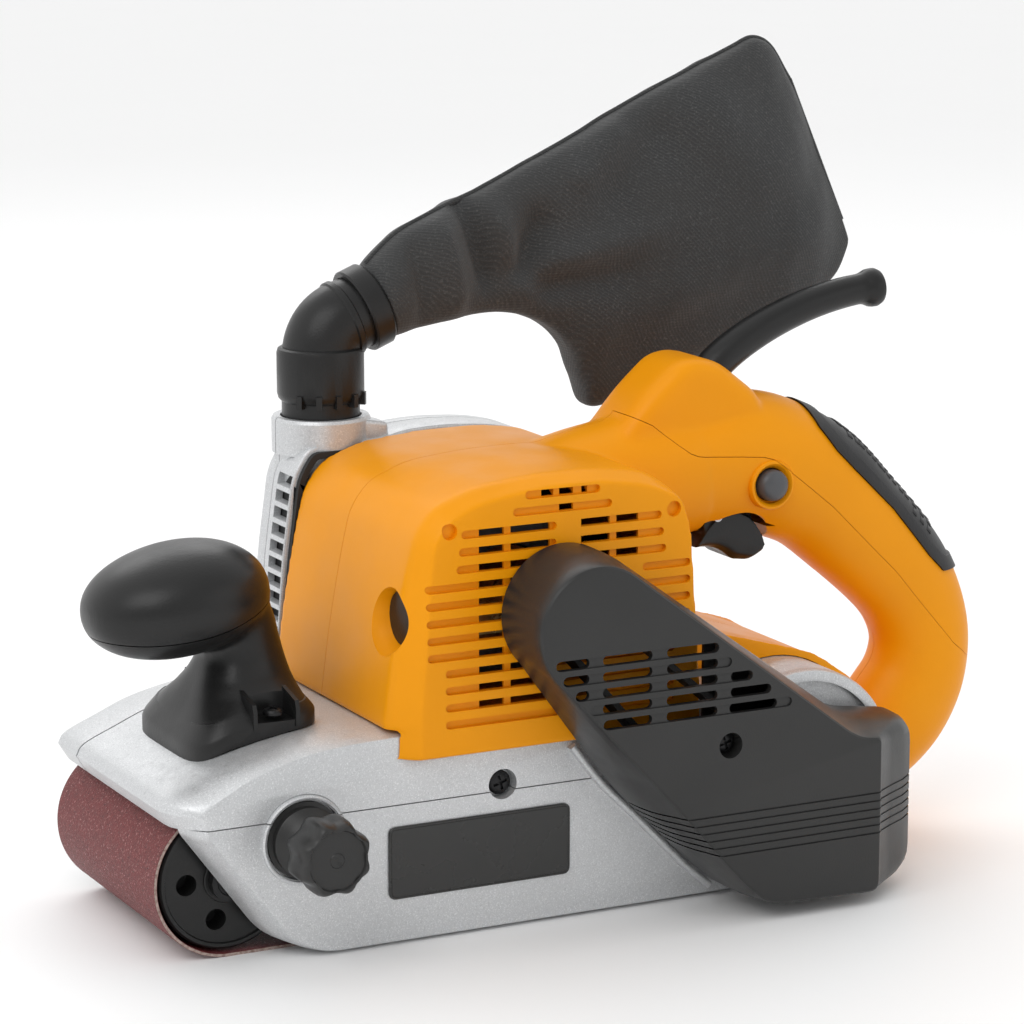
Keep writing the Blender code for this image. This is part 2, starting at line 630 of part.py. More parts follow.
def make_knob(black, steel):
    """Belt tracking knob with its screw."""
    here = (-84.0, 0, 45.5)
    shape = []
    for i in range(32):
        a = 2 * math.pi * i / 32
        r = 13.2 + 0.8 * math.cos(8 * a)
        shape.append((here[0] + r * math.cos(a), here[2] + r * math.sin(a)))
    knob = plate([shape], -97.0, -78.5)
    join(knob, rod(10.5, -79.0, -70.9, here, steps=24))
    cut(knob, rod(3.3, -88, -60, here, steps=16))
    finish(set_origin(knob, here), "tracking_knob", black)
    finish(set_origin(rod(3.0, -87.5, Y_WALL, here, steps=16), here), "tracking_screw", steel)


def make_lever(mat, steel):
    """Belt release lever on the open side."""
    pivot = (-34.0, 0, 30.0)
    arm = plate([arc(pivot[0], pivot[2], 7.0, 120, 240, 6) + [(10.0, 25.0), (16.0, 28.0),
                 (16.0, 32.0), (10.0, 35.0)]], 53.2, 58.5)
    cut(arm, rod(3.3, 40, 70, pivot, steps=16))
    finish(set_origin(arm, pivot), "release_lever", mat)
    pin = join(rod(3.0, 47.0, 59.0, pivot, steps=16), rod(5.0, 59.0, 60.5, pivot, steps=16))
    finish(set_origin(pin, pivot), "lever_pin", steel)


# ---------------------------------------------------------------- controls, grip, dust outlet

def make_controls(black, grey, steel):
    pivot = (112.5, 0, 138.0)
    trigger = plate([[(109.8, 133.4), (109.0, 141.5), (124.0, 142.5), (134.5, 137.5),
                      (139.5, 126.5), (133.0, 120.5), (127.0, 122.0), (118.0, 129.5)]],
                    Y_HANDLE - 13.0, Y_HANDLE + 13.0)
    bevel(trigger, 1.5, angle=50)
    cut(trigger, rod(2.3, -40, 20, pivot, steps=14))
    finish(set_origin(trigger, pivot), "trigger", black)
    finish(rod(2.0, Y_HANDLE - 14.6, Y_HANDLE + 14.6, pivot, steps=14), "trigger_pin", steel)
    body = box((122, 152), (Y_HANDLE - 9, Y_HANDLE + 13), (145.5, 162))
    finish(body, "switch_body", black)
    button = rod(6.3, -36.5, -25.5, (131.5, 0, 150.5), steps=24)
    finish(set_origin(button, (131.5, -31.0, 150.5)), "lock_button", grey)


def make_cord_guard(mat):
    """Bend guard at the cable outlet, open at its mouth."""
    sleeve = tube([(x, Y_HANDLE, z) for x, z in GUARD_PATH], 6.9)
    lip = rod(7.9, 0.0, 5.5, (0, 0, 0), axis="X", steps=20)
    lip.data.transform(Matrix.Translation(Vector((190.0, Y_HANDLE, 221.0)) * MM)
                       @ Matrix.Rotation(math.radians(2), 4, "Y"))
    join(sleeve, lip)
    inner_path = [(106.0, 176.6)] + GUARD_PATH[1:-1] + [(200.0, 220.8)]
    bore = tube([(x, Y_HANDLE, z) for x, z in inner_path], 3.9, 2)
    finish(cut(sleeve, bore), "cord_guard", mat)


def make_front_grip(black, screw_mat):
    base_line = ([(x, z + GAP) for x, z in [(-114.5, 70.1)] + deck_line()[3:5] + [(-67.0, 80.5)]]
                 + [(-67.5, 87.0), (-74.0, 91.0), (-104.0, 91.0), (-114.5, 80.0)])
    base = bevel(plate([base_line], GRIP_Y - 35, GRIP_Y + 35), 4.0, angle=60)
    stem = turned([(0, 112), (15.5, 112), (17.0, 104), (21.0, 95), (30.0, 86), (0, 86)],
                  (0, 0, 0), axis="Z", steps=24)
    stem.data.transform(Matrix.Translation(Vector((-88.0, GRIP_Y, 0)) * MM)
                        @ Matrix.Diagonal((0.95, 1.1, 1.0, 1.0)))
    bpy.ops.mesh.primitive_uv_sphere_add(segments=28, ring_count=16, radius=MM)
    head = bpy.context.object
    head.data.transform(Matrix.Translation(Vector((-108.0, GRIP_Y, 125.5)) * MM)
                        @ Matrix.Rotation(math.radians(-7), 4, "Y")
                        @ Matrix.Diagonal((38.0, 29.5, 22.0, 1.0)))
    body = join(base, stem, copy_of(head))
    split = plate([[(-170, 114.5), (-105, 114.0), (-60, 124.0), (-60, 170), (-170, 170)]], -60, 40)
    top = box((-170, -40), (-70, 50), (90, 170))
    combine(top, copy_of(split), "INTERSECT")
    top.data.transform(Matrix.Translation((0, 0, GAP * MM)))
    combine(head, top, "INTERSECT")
    cut(body, split)
    for y in (GRIP_Y - 29, GRIP_Y + 29):
        low, high = sorted((y + math.copysign(9, y - GRIP_Y), y - math.copysign(5, y - GRIP_Y)))
        cut(body, box((-92, -77), (low, high), (84.5, 105)))
    finish(body, "front_grip", black)
    finish(head, "front_grip_cap", black)
    for name, y in (("grip_screw_near", GRIP_Y - 29), ("grip_screw_far", GRIP_Y + 29)):
        finish(rod(3.8, 84.8, 88.0, (-84.5, y, 0), axis="Z", steps=16), name, screw_mat)


def make_dust_outlet(black, fabric):
    """Elbow and bag, which turn together in the spout."""
    spin = (SPOUT_X, SPOUT_Y, 177.0)
    collar = join(rod(TUBE_R, 162.0, 184.0, (SPOUT_X, SPOUT_Y, 0), axis="Z", steps=32),
                  rod(TUBE_R + 1.9, 183.0, 203.0, (SPOUT_X, SPOUT_Y, 0), axis="Z", steps=32))
    cut(collar, rod(TUBE_R - 2.5, 150.0, 210.0, (SPOUT_X, SPOUT_Y, 0), axis="Z", steps=32))
    finish(set_origin(collar, spin), "dust_collar", black)

    lean = math.radians(22.0)
    corner = Vector((SPOUT_X, SPOUT_Y, 210.0))
    aim = Vector((math.cos(lean), 0.0, math.sin(lean)))
    turn = Matrix.Translation(corner * MM) @ Matrix.Rotation(-lean, 4, "Y")

    def along(r, low, high, steps=24):
        piece = rod(r, low, high, (0, 0, 0), axis="X", steps=steps)
        piece.data.transform(turn)
        return piece
    elbow = rod(TUBE_R, 200.0, 210.0, (SPOUT_X, SPOUT_Y, 0), axis="Z", steps=24)
    bpy.ops.mesh.primitive_uv_sphere_add(segments=24, ring_count=12, radius=TUBE_R * MM)
    ball = bpy.context.object
    ball.data.transform(Matrix.Translation(corner * MM))
    join(elbow, ball, along(TUBE_R - 0.9, 0, 20))
    bore = join(rod(11.0, 195.0, 210.0, (SPOUT_X, SPOUT_Y, 0), axis="Z", steps=20),
                along(11.0, 0, 30))
    cut(elbow, box((-50, 20), (30, 80), (180, 203.0 + GAP)), bore)
    finish(set_origin(elbow, spin), "dust_elbow", black)
    clamp = cut(along(TUBE_R + 0.6, 14.5, 21.5), along(TUBE_R - 0.6, 10, 30))
    finish(set_origin(clamp, spin), "bag_clamp_ring", black)

    outline = [(4.0, 236.5), (9.0, 247.0), (15.0, 250.5), (47.0, 263.0), (87.0, 282.0),
               (114.0, 294.5), (161.0, 314.0), (173.0, 317.5), (180.0, 313.0), (187.0, 300.0),
               (201.0, 272.0), (211.0, 248.0), (217.5, 232.0), (215.0, 220.0), (203.0, 211.0),
               (150.0, 190.0), (97.0, 170.0), (90.0, 172.0), (86.0, 182.0), (83.0, 198.0),
               (74.0, 208.0), (58.0, 213.5), (31.0, 211.5), (13.0, 210.0), (8.0, 213.0)]
    bag = bevel(plate([inset(outline, 2.5)], SPOUT_Y - 17, SPOUT_Y + 17), 10.0, angle=60)
    finish(set_origin(bag, spin), "dust_bag", fabric)


def make_small_parts(steel, black):
    finish(plate([[(-50.6, 17.9), (24.2, 17.9), (24.2, 45.4), (-50.6, 45.4)]],
                 Y_SIDE - 1.0, Y_SIDE - GAP), "name_plate", black)
    finish(rod(3.8, Y_SIDE + 2.4, Y_SIDE + 5.7, (-3.6, 0, 56.0), steps=20), "side_screw", steel)
    post = join(rod(4.4, -100.5, -96.0, (71.0, 0, 71.0), steps=20),
                rod(2.5, -97, -72.4, (71.0, 0, 71.0), steps=16))
    finish(post, "cover_screw", steel)


# ---------------------------------------------------------------- build

def main():
    for obj in list(bpy.data.objects):
        bpy.data.objects.remove(obj)
    bpy.context.scene.collection.children.link(PARTS)

    silver = material("cast_silver", (0.62, 0.63, 0.64), 0.38, 0.85)
    orange = material("housing_orange", (0.86, 0.36, 0.015), 0.42)
    black = material("black_plastic", (0.045, 0.045, 0.043), 0.5)
    soft = material("soft_grip", (0.03, 0.03, 0.03), 0.8)
    grey = material("grey_plastic", (0.10, 0.10, 0.10), 0.45)
    steel = material("steel", (0.55, 0.55, 0.56), 0.3, 1.0)
    dark_steel = material("blackened_steel", (0.03, 0.03, 0.03), 0.4, 0.6)
    alloy = material("alloy", (0.6, 0.6, 0.6), 0.45, 1.0)
    copper = material("copper_winding", (0.5, 0.2, 0.08), 0.4, 0.8)
    laminations = material("laminations", (0.25, 0.25, 0.26), 0.5, 0.8)
    brass = material("brass", (0.7, 0.5, 0.2), 0.35, 1.0)
    carbon = material("carbon", (0.02, 0.02, 0.02), 0.6)
    rubber = material("rubber", (0.02, 0.02, 0.02), 0.85)
    grit = material("abrasive_cloth", (0.24, 0.07, 0.05), 0.9)
    cork = material("cork", (0.45, 0.30, 0.18), 0.9)
    fabric = material("bag_fabric", (0.05, 0.05, 0.05), 0.9)

    make_main_frame(silver)
    make_side_frame(silver)
    make_platen(steel, cork)
    make_fan_case(silver)
    make_housing(orange, soft)
    make_cover(black)
    make_motor(steel, copper, laminations, black, brass, carbon)
    make_drive(steel, rubber, alloy, grit)
    make_front_roller(steel, black, alloy)
    make_knob(black, steel)
    make_lever(alloy, steel)
    make_controls(black, grey, steel)
    make_cord_guard(black)
    make_front_grip(black, dark_steel)
    make_dust_outlet(black, fabric)
    make_small_parts(dark_steel, black)


main()
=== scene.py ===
import json
import math

import bmesh
import bpy
import numpy as np
from mathutils import Matrix, Vector, noise

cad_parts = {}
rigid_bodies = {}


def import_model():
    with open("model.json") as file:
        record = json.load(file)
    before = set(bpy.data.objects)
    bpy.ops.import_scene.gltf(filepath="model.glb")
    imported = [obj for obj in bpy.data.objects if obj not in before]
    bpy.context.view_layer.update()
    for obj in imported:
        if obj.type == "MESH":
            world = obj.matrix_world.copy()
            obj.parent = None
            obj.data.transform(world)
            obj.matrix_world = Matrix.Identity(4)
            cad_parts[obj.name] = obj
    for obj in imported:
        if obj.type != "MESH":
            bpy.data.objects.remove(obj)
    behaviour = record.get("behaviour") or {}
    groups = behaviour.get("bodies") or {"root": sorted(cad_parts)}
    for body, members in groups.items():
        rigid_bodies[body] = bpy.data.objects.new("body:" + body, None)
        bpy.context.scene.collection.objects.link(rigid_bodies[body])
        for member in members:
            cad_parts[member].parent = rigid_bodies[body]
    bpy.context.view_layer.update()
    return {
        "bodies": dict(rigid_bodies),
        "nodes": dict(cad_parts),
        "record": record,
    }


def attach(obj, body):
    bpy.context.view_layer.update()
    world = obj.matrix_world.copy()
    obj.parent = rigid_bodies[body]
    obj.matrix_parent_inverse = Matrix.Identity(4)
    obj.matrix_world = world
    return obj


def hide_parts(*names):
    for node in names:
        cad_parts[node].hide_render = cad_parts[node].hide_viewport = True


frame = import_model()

MM = 0.001

NODES = frame["nodes"]
KEPT = set(NODES.values()) | set(frame["bodies"].values())
for leftover in list(bpy.data.objects):
    if leftover not in KEPT:
        bpy.data.objects.remove(leftover)

# Lengths in millimetres, in the frame of the CAD model
X_FRONT, X_REAR, Z_AXLE = -106.95, 106.95, 29.0
ROLLER_R = 29.0
Y_SIDE, Y_WALL, Y_OPEN = -66.7, -54.0, 52.0
Z_PARTING = 53.7
REAR_X, REAR_Z, REAR_R = 127.0, 44.5, 40.0
Y_PANEL, Y_SPLIT, Y_FAN, Y_FAN_END = -72.0, -8.0, 36.0, 66.0
MOTOR_X, MOTOR_Z = 17.0, 118.0
Y_HANDLE = -9.0
Y_COVER = -106.0
SPOUT_X, SPOUT_Y = -21.0, 56.0
GRIP_Y = -12.0
SPOUT = (SPOUT_X, SPOUT_Y, 0)
KNOB = (-84, 0, 45.5)
BUTTON = (131.5, 0, 150.5)
MOTOR_HOLE = (0, -55.5, 120.5)
SIDE_SCREW = (-3.6, 0, 56.0)
COVER_SCREW = (71, 0, 71)
DRIVE_AXLE = (X_REAR, 0, Z_AXLE)


# ------------------------------------------------------------ mesh helpers

def linked(name, data):
    """A new object in the scene."""
    obj = bpy.data.objects.new(name, data)
    bpy.context.scene.collection.objects.link(obj)
    return obj


def add(name, verts, faces):
    """A mesh object from points in millimetres."""
    mesh = bpy.data.meshes.new(name)
    mesh.from_pydata([tuple(float(c) * MM for c in v) for v in verts], [], faces)
    mesh.validate()
    bm = bmesh.new()
    bm.from_mesh(mesh)
    bmesh.ops.remove_doubles(bm, verts=bm.verts, dist=1e-7)
    bmesh.ops.recalc_face_normals(bm, faces=bm.faces)
    bm.to_mesh(mesh)
    bm.free()
    return linked(name, mesh)


def eased(corner, before, after, steps):
    """Points that soften one corner, (u, v, length of the softening), between its neighbours."""
    here = Vector(corner[:2])
    size = corner[2] if len(corner) > 2 else 0.3
    back, ahead = Vector(before[:2]) - here, Vector(after[:2]) - here
    a = here + back.normalized() * min(size, back.length * 0.48)
    b = here + ahead.normalized() * min(size, ahead.length * 0.48)
    return [tuple(a * (1 - t) ** 2 + here * 2 * t * (1 - t) + b * t * t)
            for t in (k / steps for k in range(steps + 1))]


def rounded(corners, steps=6):
    """Closed outline with every corner softened."""
    points = []
    for i, corner in enumerate(corners):
        points += eased(corner, corners[i - 1], corners[(i + 1) % len(corners)], steps)
    return points


def softened(points, steps=6):
    """Open line with its inner corners softened."""
    out = [points[0][:2]]
    for before, corner, after in zip(points, points[1:], points[2:]):
        out += eased(corner, before, after, steps)
    return out + [points[-1][:2]]


def flow(points, steps=8, closed=False):
    """Smooth curve through points of any dimension."""
    pts = np.array(points, float)
    if closed:
        pts = np.vstack([pts[-1], pts, pts[0], pts[1]])
    else:
        pts = np.vstack([2 * pts[0] - pts[1], pts, 2 * pts[-1] - pts[-2]])
    out = []
    for i in range(1, len(pts) - 2):
        p0, p1, p2, p3 = pts[i - 1:i + 3]
        for k in range(steps):
            t = k / steps
            out.append(0.5 * (2 * p1 + (p2 - p0) * t + (2 * p0 - 5 * p1 + 4 * p2 - p3) * t * t
                              + (3 * p1 - p0 - 3 * p2 + p3) * t ** 3))
    if not closed:
        out.append(pts[-2])
    return [tuple(p) for p in out]


def arc(cx, cz, r, start, end, steps):
    """Points on an arc, with its ends in degrees."""
    angles = [math.radians(start + (end - start) * i / steps) for i in range(steps + 1)]
    return [(cx + r * math.cos(a), cz + r * math.sin(a)) for a in angles]


def inset(outline, distance):
    """Closed outline moved inwards along its normals."""
    pts = np.array([p[:2] for p in outline], float)
    nxt, prv = np.roll(pts, -1, 0), np.roll(pts, 1, 0)
    area = np.sum(pts[:, 0] * nxt[:, 1] - nxt[:, 0] * pts[:, 1])
    side = 1.0 if area > 0 else -1.0

    def normals(v):
        v = v / np.maximum(np.linalg.norm(v, axis=1)[:, None], 1e-9)
        return np.stack([-v[:, 1], v[:, 0]], 1) * side
    n1, n2 = normals(pts - prv), normals(nxt - pts)
    middle = (n1 + n2) / np.maximum(1.0 + np.sum(n1 * n2, 1), 0.4)[:, None]
    return [tuple(p) for p in pts + middle * distance]


def loft(name, sections):
    """Skin over closed sections with the same number of points, capped at both ends."""
    count = len(sections[0])
    verts = [p for s in sections for p in s]
    faces = [list(range(count))[::-1], list(range((len(sections) - 1) * count,
                                                  len(sections) * count))]
    for k in range(len(sections) - 1):
        for i in range(count):
            j = (i + 1) % count
            faces.append([k * count + i, k * count + j, (k + 1) * count + j,
                          (k + 1) * count + i])
    return add(name, verts, faces)


def place(outline, height, axis):
    """Outline put at a height along an axis."""
    if axis == "Y":
        return [(u, height, v) for u, v in outline]
    if axis == "Z":
        return [(u, v, height) for u, v in outline]
    return [(height, u, v) for u, v in outline]


def slab(name, outline, low, high, axis="Y", edge=0.0, edge_low=None, steps=4):
    """Extruded outline whose rims are rounded by edge."""
    edge_low = edge if edge_low is None else edge_low
    sections = []
    if edge_low > 0:
        for k in range(steps):
            a = math.pi / 2 * k / steps
            sections.append(place(inset(outline, edge_low * (1 - math.sin(a))),
                                  low + edge_low * (1 - math.cos(a)), axis))
    sections.append(place([p[:2] for p in outline], low + edge_low, axis))
    sections.append(place([p[:2] for p in outline], high - edge, axis))
    if edge > 0:
        for k in range(steps - 1, -1, -1):
            a = math.pi / 2 * k / steps
            sections.append(place(inset(outline, edge * (1 - math.sin(a))),
                                  high - edge * (1 - math.cos(a)), axis))
    return loft(name, sections)


def box(name, x, y, z):
    """Block from three (low, high) pairs."""
    return slab(name, [(x[0], z[0]), (x[1], z[0]), (x[1], z[1]), (x[0], z[1])], y[0], y[1])


def stadium(x0, x1, z, half):
    """Outline of a slot with round ends."""
    return arc(x1 - half, z, half, -90, 90, 6) + arc(x0 + half, z, half, 90, 270, 6)


AXES = {"X": Matrix(((0, 0, 1, 0), (1, 0, 0, 0), (0, 1, 0, 0), (0, 0, 0, 1))),
        "Y": Matrix(((1, 0, 0, 0), (0, 0, -1, 0), (0, 1, 0, 0), (0, 0, 0, 1))),
        "Z": Matrix()}


def turned(name, profile, centre, axis="Y", steps=64, shape=None):
    """Closed body turned from an open profile of (radius, height) points along an axis.

    Along Y the height grows towards the near side, that is towards -Y.

    The profile starts and ends on the axis. shape gives a factor on the radius for an
    angle and a height.
    """
    verts, faces, rings = [], [], []
    for r, h in profile:
        if r < 1e-6:
            rings.append([len(verts)])
            verts.append((0, 0, h))
            continue
        rings.append(list(range(len(verts), len(verts) + steps)))
        for i in range(steps):
            a = 2 * math.pi * i / steps
            f = r * (shape(a, r, h) if shape else 1.0)
            verts.append((f * math.cos(a), f * math.sin(a), h))
    for low, high in zip(rings, rings[1:]):
        for i in range(steps):
            j = (i + 1) % steps
            if len(low) == 1 and len(high) == 1:
                continue
            if len(low) == 1:
                faces.append([low[0], high[i], high[j]])
            elif len(high) == 1:
                faces.append([low[i], low[j], high[0]])
            else:
                faces.append([low[i], low[j], high[j], high[i]])
    turn = AXES[axis]
    moved = [turn @ Vector(v) + Vector(centre) for v in verts]
    return add(name, moved, faces)


def rod(name, r, low, high, centre, axis="Y", edge=0.0, steps=48):
    """Round bar; low and high are along the axis, and centre has a 0 there."""
    if axis == "Y":
        low, high = -high, -low
    profile = [(0, low), (r - edge, low), (r, low + edge), (r, high - edge), (r - edge, high),
               (0, high)]
    if edge <= 0:
        profile = [(0, low), (r, low), (r, high), (0, high)]
    return turned(name, profile, centre, axis, steps)


def hoop(name, rows, centre, axis="Y", steps=64):
    """Closed ring turned from a closed profile of (radius, height) points."""
    verts, faces = [], []
    count = len(rows)
    for i in range(steps):
        a = 2 * math.pi * i / steps
        for r, h in rows:
            verts.append((r * math.cos(a), r * math.sin(a), h))
    for i in range(steps):
        for k in range(count):
            a, b = i * count, ((i + 1) % steps) * count
            m = (k + 1) % count
            faces.append([a + k, a + m, b + m, b + k])
    turn = AXES[axis]
    return add(name, [turn @ Vector(v) + Vector(centre) for v in verts], faces)


def sweep(name, path, radius, sides=32, squeeze=1.0, power=2.0):
    """Bar along a path of points; radius is one value or one per point.

    squeeze narrows it sideways and power above 2 makes its section squarer.
    """
    pts = np.array(path, float)
    radii = np.full(len(pts), radius) if np.isscalar(radius) else np.array(radius, float)
    tangent = np.gradient(pts, axis=0)
    tangent /= np.linalg.norm(tangent, axis=1)[:, None]
    across = np.array([0.0, 1.0, 0.0])
    sections = []
    for p, t, r in zip(pts, tangent, radii):
        n = np.cross(t, across)
        n /= np.linalg.norm(n)
        w = np.cross(n, t)
        ring = []
        for k in range(sides):
            a = 2 * math.pi * k / sides
            c, s = math.cos(a), math.sin(a)
            cu = math.copysign(abs(c) ** (2 / power), c)
            su = math.copysign(abs(s) ** (2 / power), s)
            ring.append(tuple(p + n * r * cu + w * r * su * squeeze))
        sections.append(ring)
    return loft(name, sections)


def baked(obj):
    """Apply an object's modifiers."""
    graph = bpy.context.evaluated_depsgraph_get()
    mesh = bpy.data.meshes.new_from_object(obj.evaluated_get(graph))
    obj.modifiers.clear()
    old, obj.data = obj.data, mesh
    bpy.data.meshes.remove(old)
    return obj


def combine(obj, other, operation):
    """Boolean of two closed bodies; the second one is used up."""
    mod = obj.modifiers.new("combine", "BOOLEAN")
    mod.operation, mod.solver, mod.object = operation, "MANIFOLD", other
    bpy.context.view_layer.update()
    baked(obj)
    bpy.data.objects.remove(other)
    return obj


def cut(obj, *others):
    for other in others:
        combine(obj, other, "DIFFERENCE")
    return obj


def unite(obj, *others):
    for other in others:
        combine(obj, other, "UNION")
    return obj


def merged(name, *pieces):
    """Pieces put into one mesh as they are."""
    bm = bmesh.new()
    for piece in pieces:
        bm.from_mesh(piece.data)
        bpy.data.objects.remove(piece)
    mesh = bpy.data.meshes.new(name)
    bm.to_mesh(mesh)
    bm.free()
    return linked(name, mesh)


def copy_of(obj, name):
    return linked(name, obj.data.copy())


def moulded(obj, voxel, rounds, factor=0.5):
    """One smooth skin over everything in a mesh, with filleted inner corners."""
    mod = obj.modifiers.new("skin", "REMESH")
    mod.mode, mod.voxel_size = "VOXEL", voxel * MM
    mod = obj.modifiers.new("soften", "SMOOTH")
    mod.factor, mod.iterations = factor, rounds
    return baked(obj)


def soften_where(obj, weight, rounds):
    """Extra smoothing where weight(x, y, z), in millimetres, is above zero."""
    group = obj.vertex_groups.new(name="soft")
    co = np.empty(len(obj.data.vertices) * 3)
    obj.data.vertices.foreach_get("co", co)
    for i, p in enumerate(co.reshape(-1, 3) * 1000):
        w = weight(*p)
        if w > 0:
            group.add([i], min(1.0, w), "REPLACE")
    mod = obj.modifiers.new("soften", "SMOOTH")
    mod.factor, mod.iterations, mod.vertex_group = 0.5, rounds, "soft"
    baked(obj)
    obj.vertex_groups.clear()
    return obj


def done(obj, body, slot_name, *replaced, mat=None, angle=35):
    """Finish a piece: shading, material, and the body that it rides on.

    Edges sharper than angle, in degrees, stay sharp. The material is the slot's own unless
    mat is given.
    """
    obj.data.shade_smooth()
    obj.data.set_sharp_from_angle(angle=math.radians(angle))
    obj.data.materials.clear()
    obj.data.materials.append(mat or SLOT_MATERIAL[slot_name])
    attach(obj, body)
    if replaced:
        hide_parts(*replaced)
    return obj


# ------------------------------------------------------------ materials

class Surface:
    """Small builder for node materials in object coordinates."""

    def __init__(self, name, color, roughness, metallic=0.0):
        self.mat = bpy.data.materials.new(name)
        self.mat.use_nodes = True
        self.tree = self.mat.node_tree
        self.shader = self.tree.nodes["Principled BSDF"]
        self.coords = self.new("TexCoord").outputs["Object"]
        self.set(Roughness=roughness, Metallic=metallic, Base_Color=(*color, 1))
        self.color = None
        self.base = color
        self.normal = None

    def new(self, kind, **values):
        """A new node with its inputs set; an underscore in a name stands for a space."""
        node = self.tree.nodes.new("ShaderNode" + kind)
        for key, value in values.items():
            node.inputs[key.replace("_", " ")].default_value = value
        return node

    def link(self, a, b):
        self.tree.links.new(a, b)

    def noise(self, scale, detail=3.0, rough=0.5, stretch=None):
        node = self.new("TexNoise", Scale=scale, Detail=detail, Roughness=rough)
        if stretch:
            mapping = self.new("Mapping", Scale=stretch)
            self.link(self.coords, mapping.inputs["Vector"])
            self.link(mapping.outputs["Vector"], node.inputs["Vector"])
        else:
            self.link(self.coords, node.inputs["Vector"])
        return node.outputs["Fac"]

    def wave(self, direction, scale, distortion, detail):
        """Sine bands along a direction."""
        node = self.new("TexWave", Scale=scale, Distortion=distortion, Detail=detail)
        node.wave_type, node.bands_direction, node.wave_profile = "BANDS", direction, "SIN"
        self.link(self.coords, node.inputs["Vector"])
        return node.outputs["Fac"]

    def ramp(self, value, low, high, a=0.0, b=1.0):
        node = self.new("MapRange", From_Min=low, From_Max=high, To_Min=a, To_Max=b)
        self.link(value, node.inputs["Value"])
        return node.outputs["Result"]

    def tint(self, value, color):
        """Mix the colour so far towards another by a value from 0 to 1."""
        mix = self.new("Mix")
        mix.data_type = "RGBA"
        if self.color is None:
            mix.inputs["A"].default_value = (*self.base, 1)
        else:
            self.link(self.color, mix.inputs["A"])
        mix.inputs["B"].default_value = (*color, 1)
        self.link(value, mix.inputs["Factor"])
        self.color = mix.outputs["Result"]
        self.link(self.color, self.shader.inputs["Base Color"])
        return self

    def bump(self, value, distance, strength=1.0):
        node = self.new("Bump", Distance=distance, Strength=strength)
        self.link(value, node.inputs["Height"])
        if self.normal is not None:
            self.link(self.normal, node.inputs["Normal"])
        self.normal = node.outputs["Normal"]
        self.link(self.normal, self.shader.inputs["Normal"])
        return self

    def rough(self, value, low, high):
        self.link(self.ramp(value, 0.3, 0.7, low, high), self.shader.inputs["Roughness"])
        return self

    def set(self, **values):
        for key, value in values.items():
            self.shader.inputs[key.replace("_", " ")].default_value = value
        return self


def plastic(name, color, roughness, grain=0.00006, scale=1400, shade=0.12, **extra):
    s = Surface(name, color, roughness)
    s.tint(s.ramp(s.noise(35, 4), 0.35, 0.7, 0.0, 0.6), tuple(c * (1 - shade) for c in color))
    s.rough(s.noise(60, 5), roughness - 0.05, roughness + 0.06)
    s.bump(s.noise(scale, 2), grain)
    return s.set(**extra).mat


ORANGE = plastic("housing_orange_moulded", (0.86, 0.318, 0.001), 0.40, 0.00004, 1100, 0.05,
                 Specular_IOR_Level=0.18)
BLACK = plastic("black_moulded", (0.011, 0.011, 0.011), 0.34, 0.00006, 1300, 0.25,
                Specular_IOR_Level=0.36)
SATIN = plastic("charcoal_satin", (0.024, 0.024, 0.0235), 0.36, 0.00005, 1500, 0.15,
                Specular_IOR_Level=0.38)
SOFT = plastic("soft_overmould", (0.013, 0.013, 0.014), 0.45, 0.00008, 900, 0.3,
               Specular_IOR_Level=0.4)
GREY = plastic("button_grey", (0.075, 0.078, 0.085), 0.38, 0.00003, 1200, 0.2)
LABEL = plastic("label_dark", (0.022, 0.022, 0.021), 0.28, 0.00001, 500, 0.1)
SCREW = plastic("black_oxide", (0.020, 0.020, 0.021), 0.33, 0.00003, 900, 0.4, Metallic=0.6)
RUBBER = plastic("rubber_matt", (0.018, 0.018, 0.018), 0.7, 0.00008, 700, 0.3)


def silver_paint():
    s = Surface("silver_paint", (0.60, 0.61, 0.62), 0.42, 0.55)
    s.tint(s.ramp(s.noise(1900, 2, 0.6), 0.52, 0.75, 0.0, 0.75), (0.93, 0.94, 0.95))
    s.tint(s.ramp(s.noise(900, 3, 0.7), 0.30, 0.45, 0.45, 0.0), (0.36, 0.37, 0.38))
    s.tint(s.ramp(s.noise(22, 4), 0.45, 0.75, 0.0, 0.25), (0.50, 0.51, 0.52))
    s.rough(s.noise(240, 4), 0.34, 0.50)
    s.bump(s.noise(1500, 3, 0.6), 0.00010)
    s.bump(s.noise(55, 2), 0.00025)
    return s.mat


def metal(name, color, roughness, scratch=(1, 1, 1), shade=0.2):
    s = Surface(name, color, roughness, 1.0)
    s.tint(s.ramp(s.noise(180, 5, 0.6, scratch), 0.35, 0.7), tuple(c * (1 - shade) for c in color))
    s.rough(s.noise(420, 4, 0.6, scratch), roughness - 0.08, roughness + 0.14)
    s.bump(s.noise(800, 3, 0.6, scratch), 0.00003)
    return s.mat


def abrasive():
    s = Surface("abrasive_grit", (0.180, 0.022, 0.022), 0.5)
    s.tint(s.ramp(s.noise(260, 3, 0.6), 0.35, 0.7, 0.0, 0.55), (0.12, 0.022, 0.020))
    # Pale pink specks: painted glints of light on the grit grains.
    s.tint(s.ramp(s.noise(1000, 2, 0.7), 0.58, 0.70, 0.0, 0.75), (0.55, 0.27, 0.27))
    s.tint(s.ramp(s.noise(1100, 2, 0.7, (1.3, 0.8, 1.1)), 0.42, 0.34, 0.0, 0.8),
           (0.04, 0.007, 0.007))
    s.bump(s.noise(1000, 3, 0.8), 0.0009)
    return s.set(Specular_IOR_Level=0.4).mat


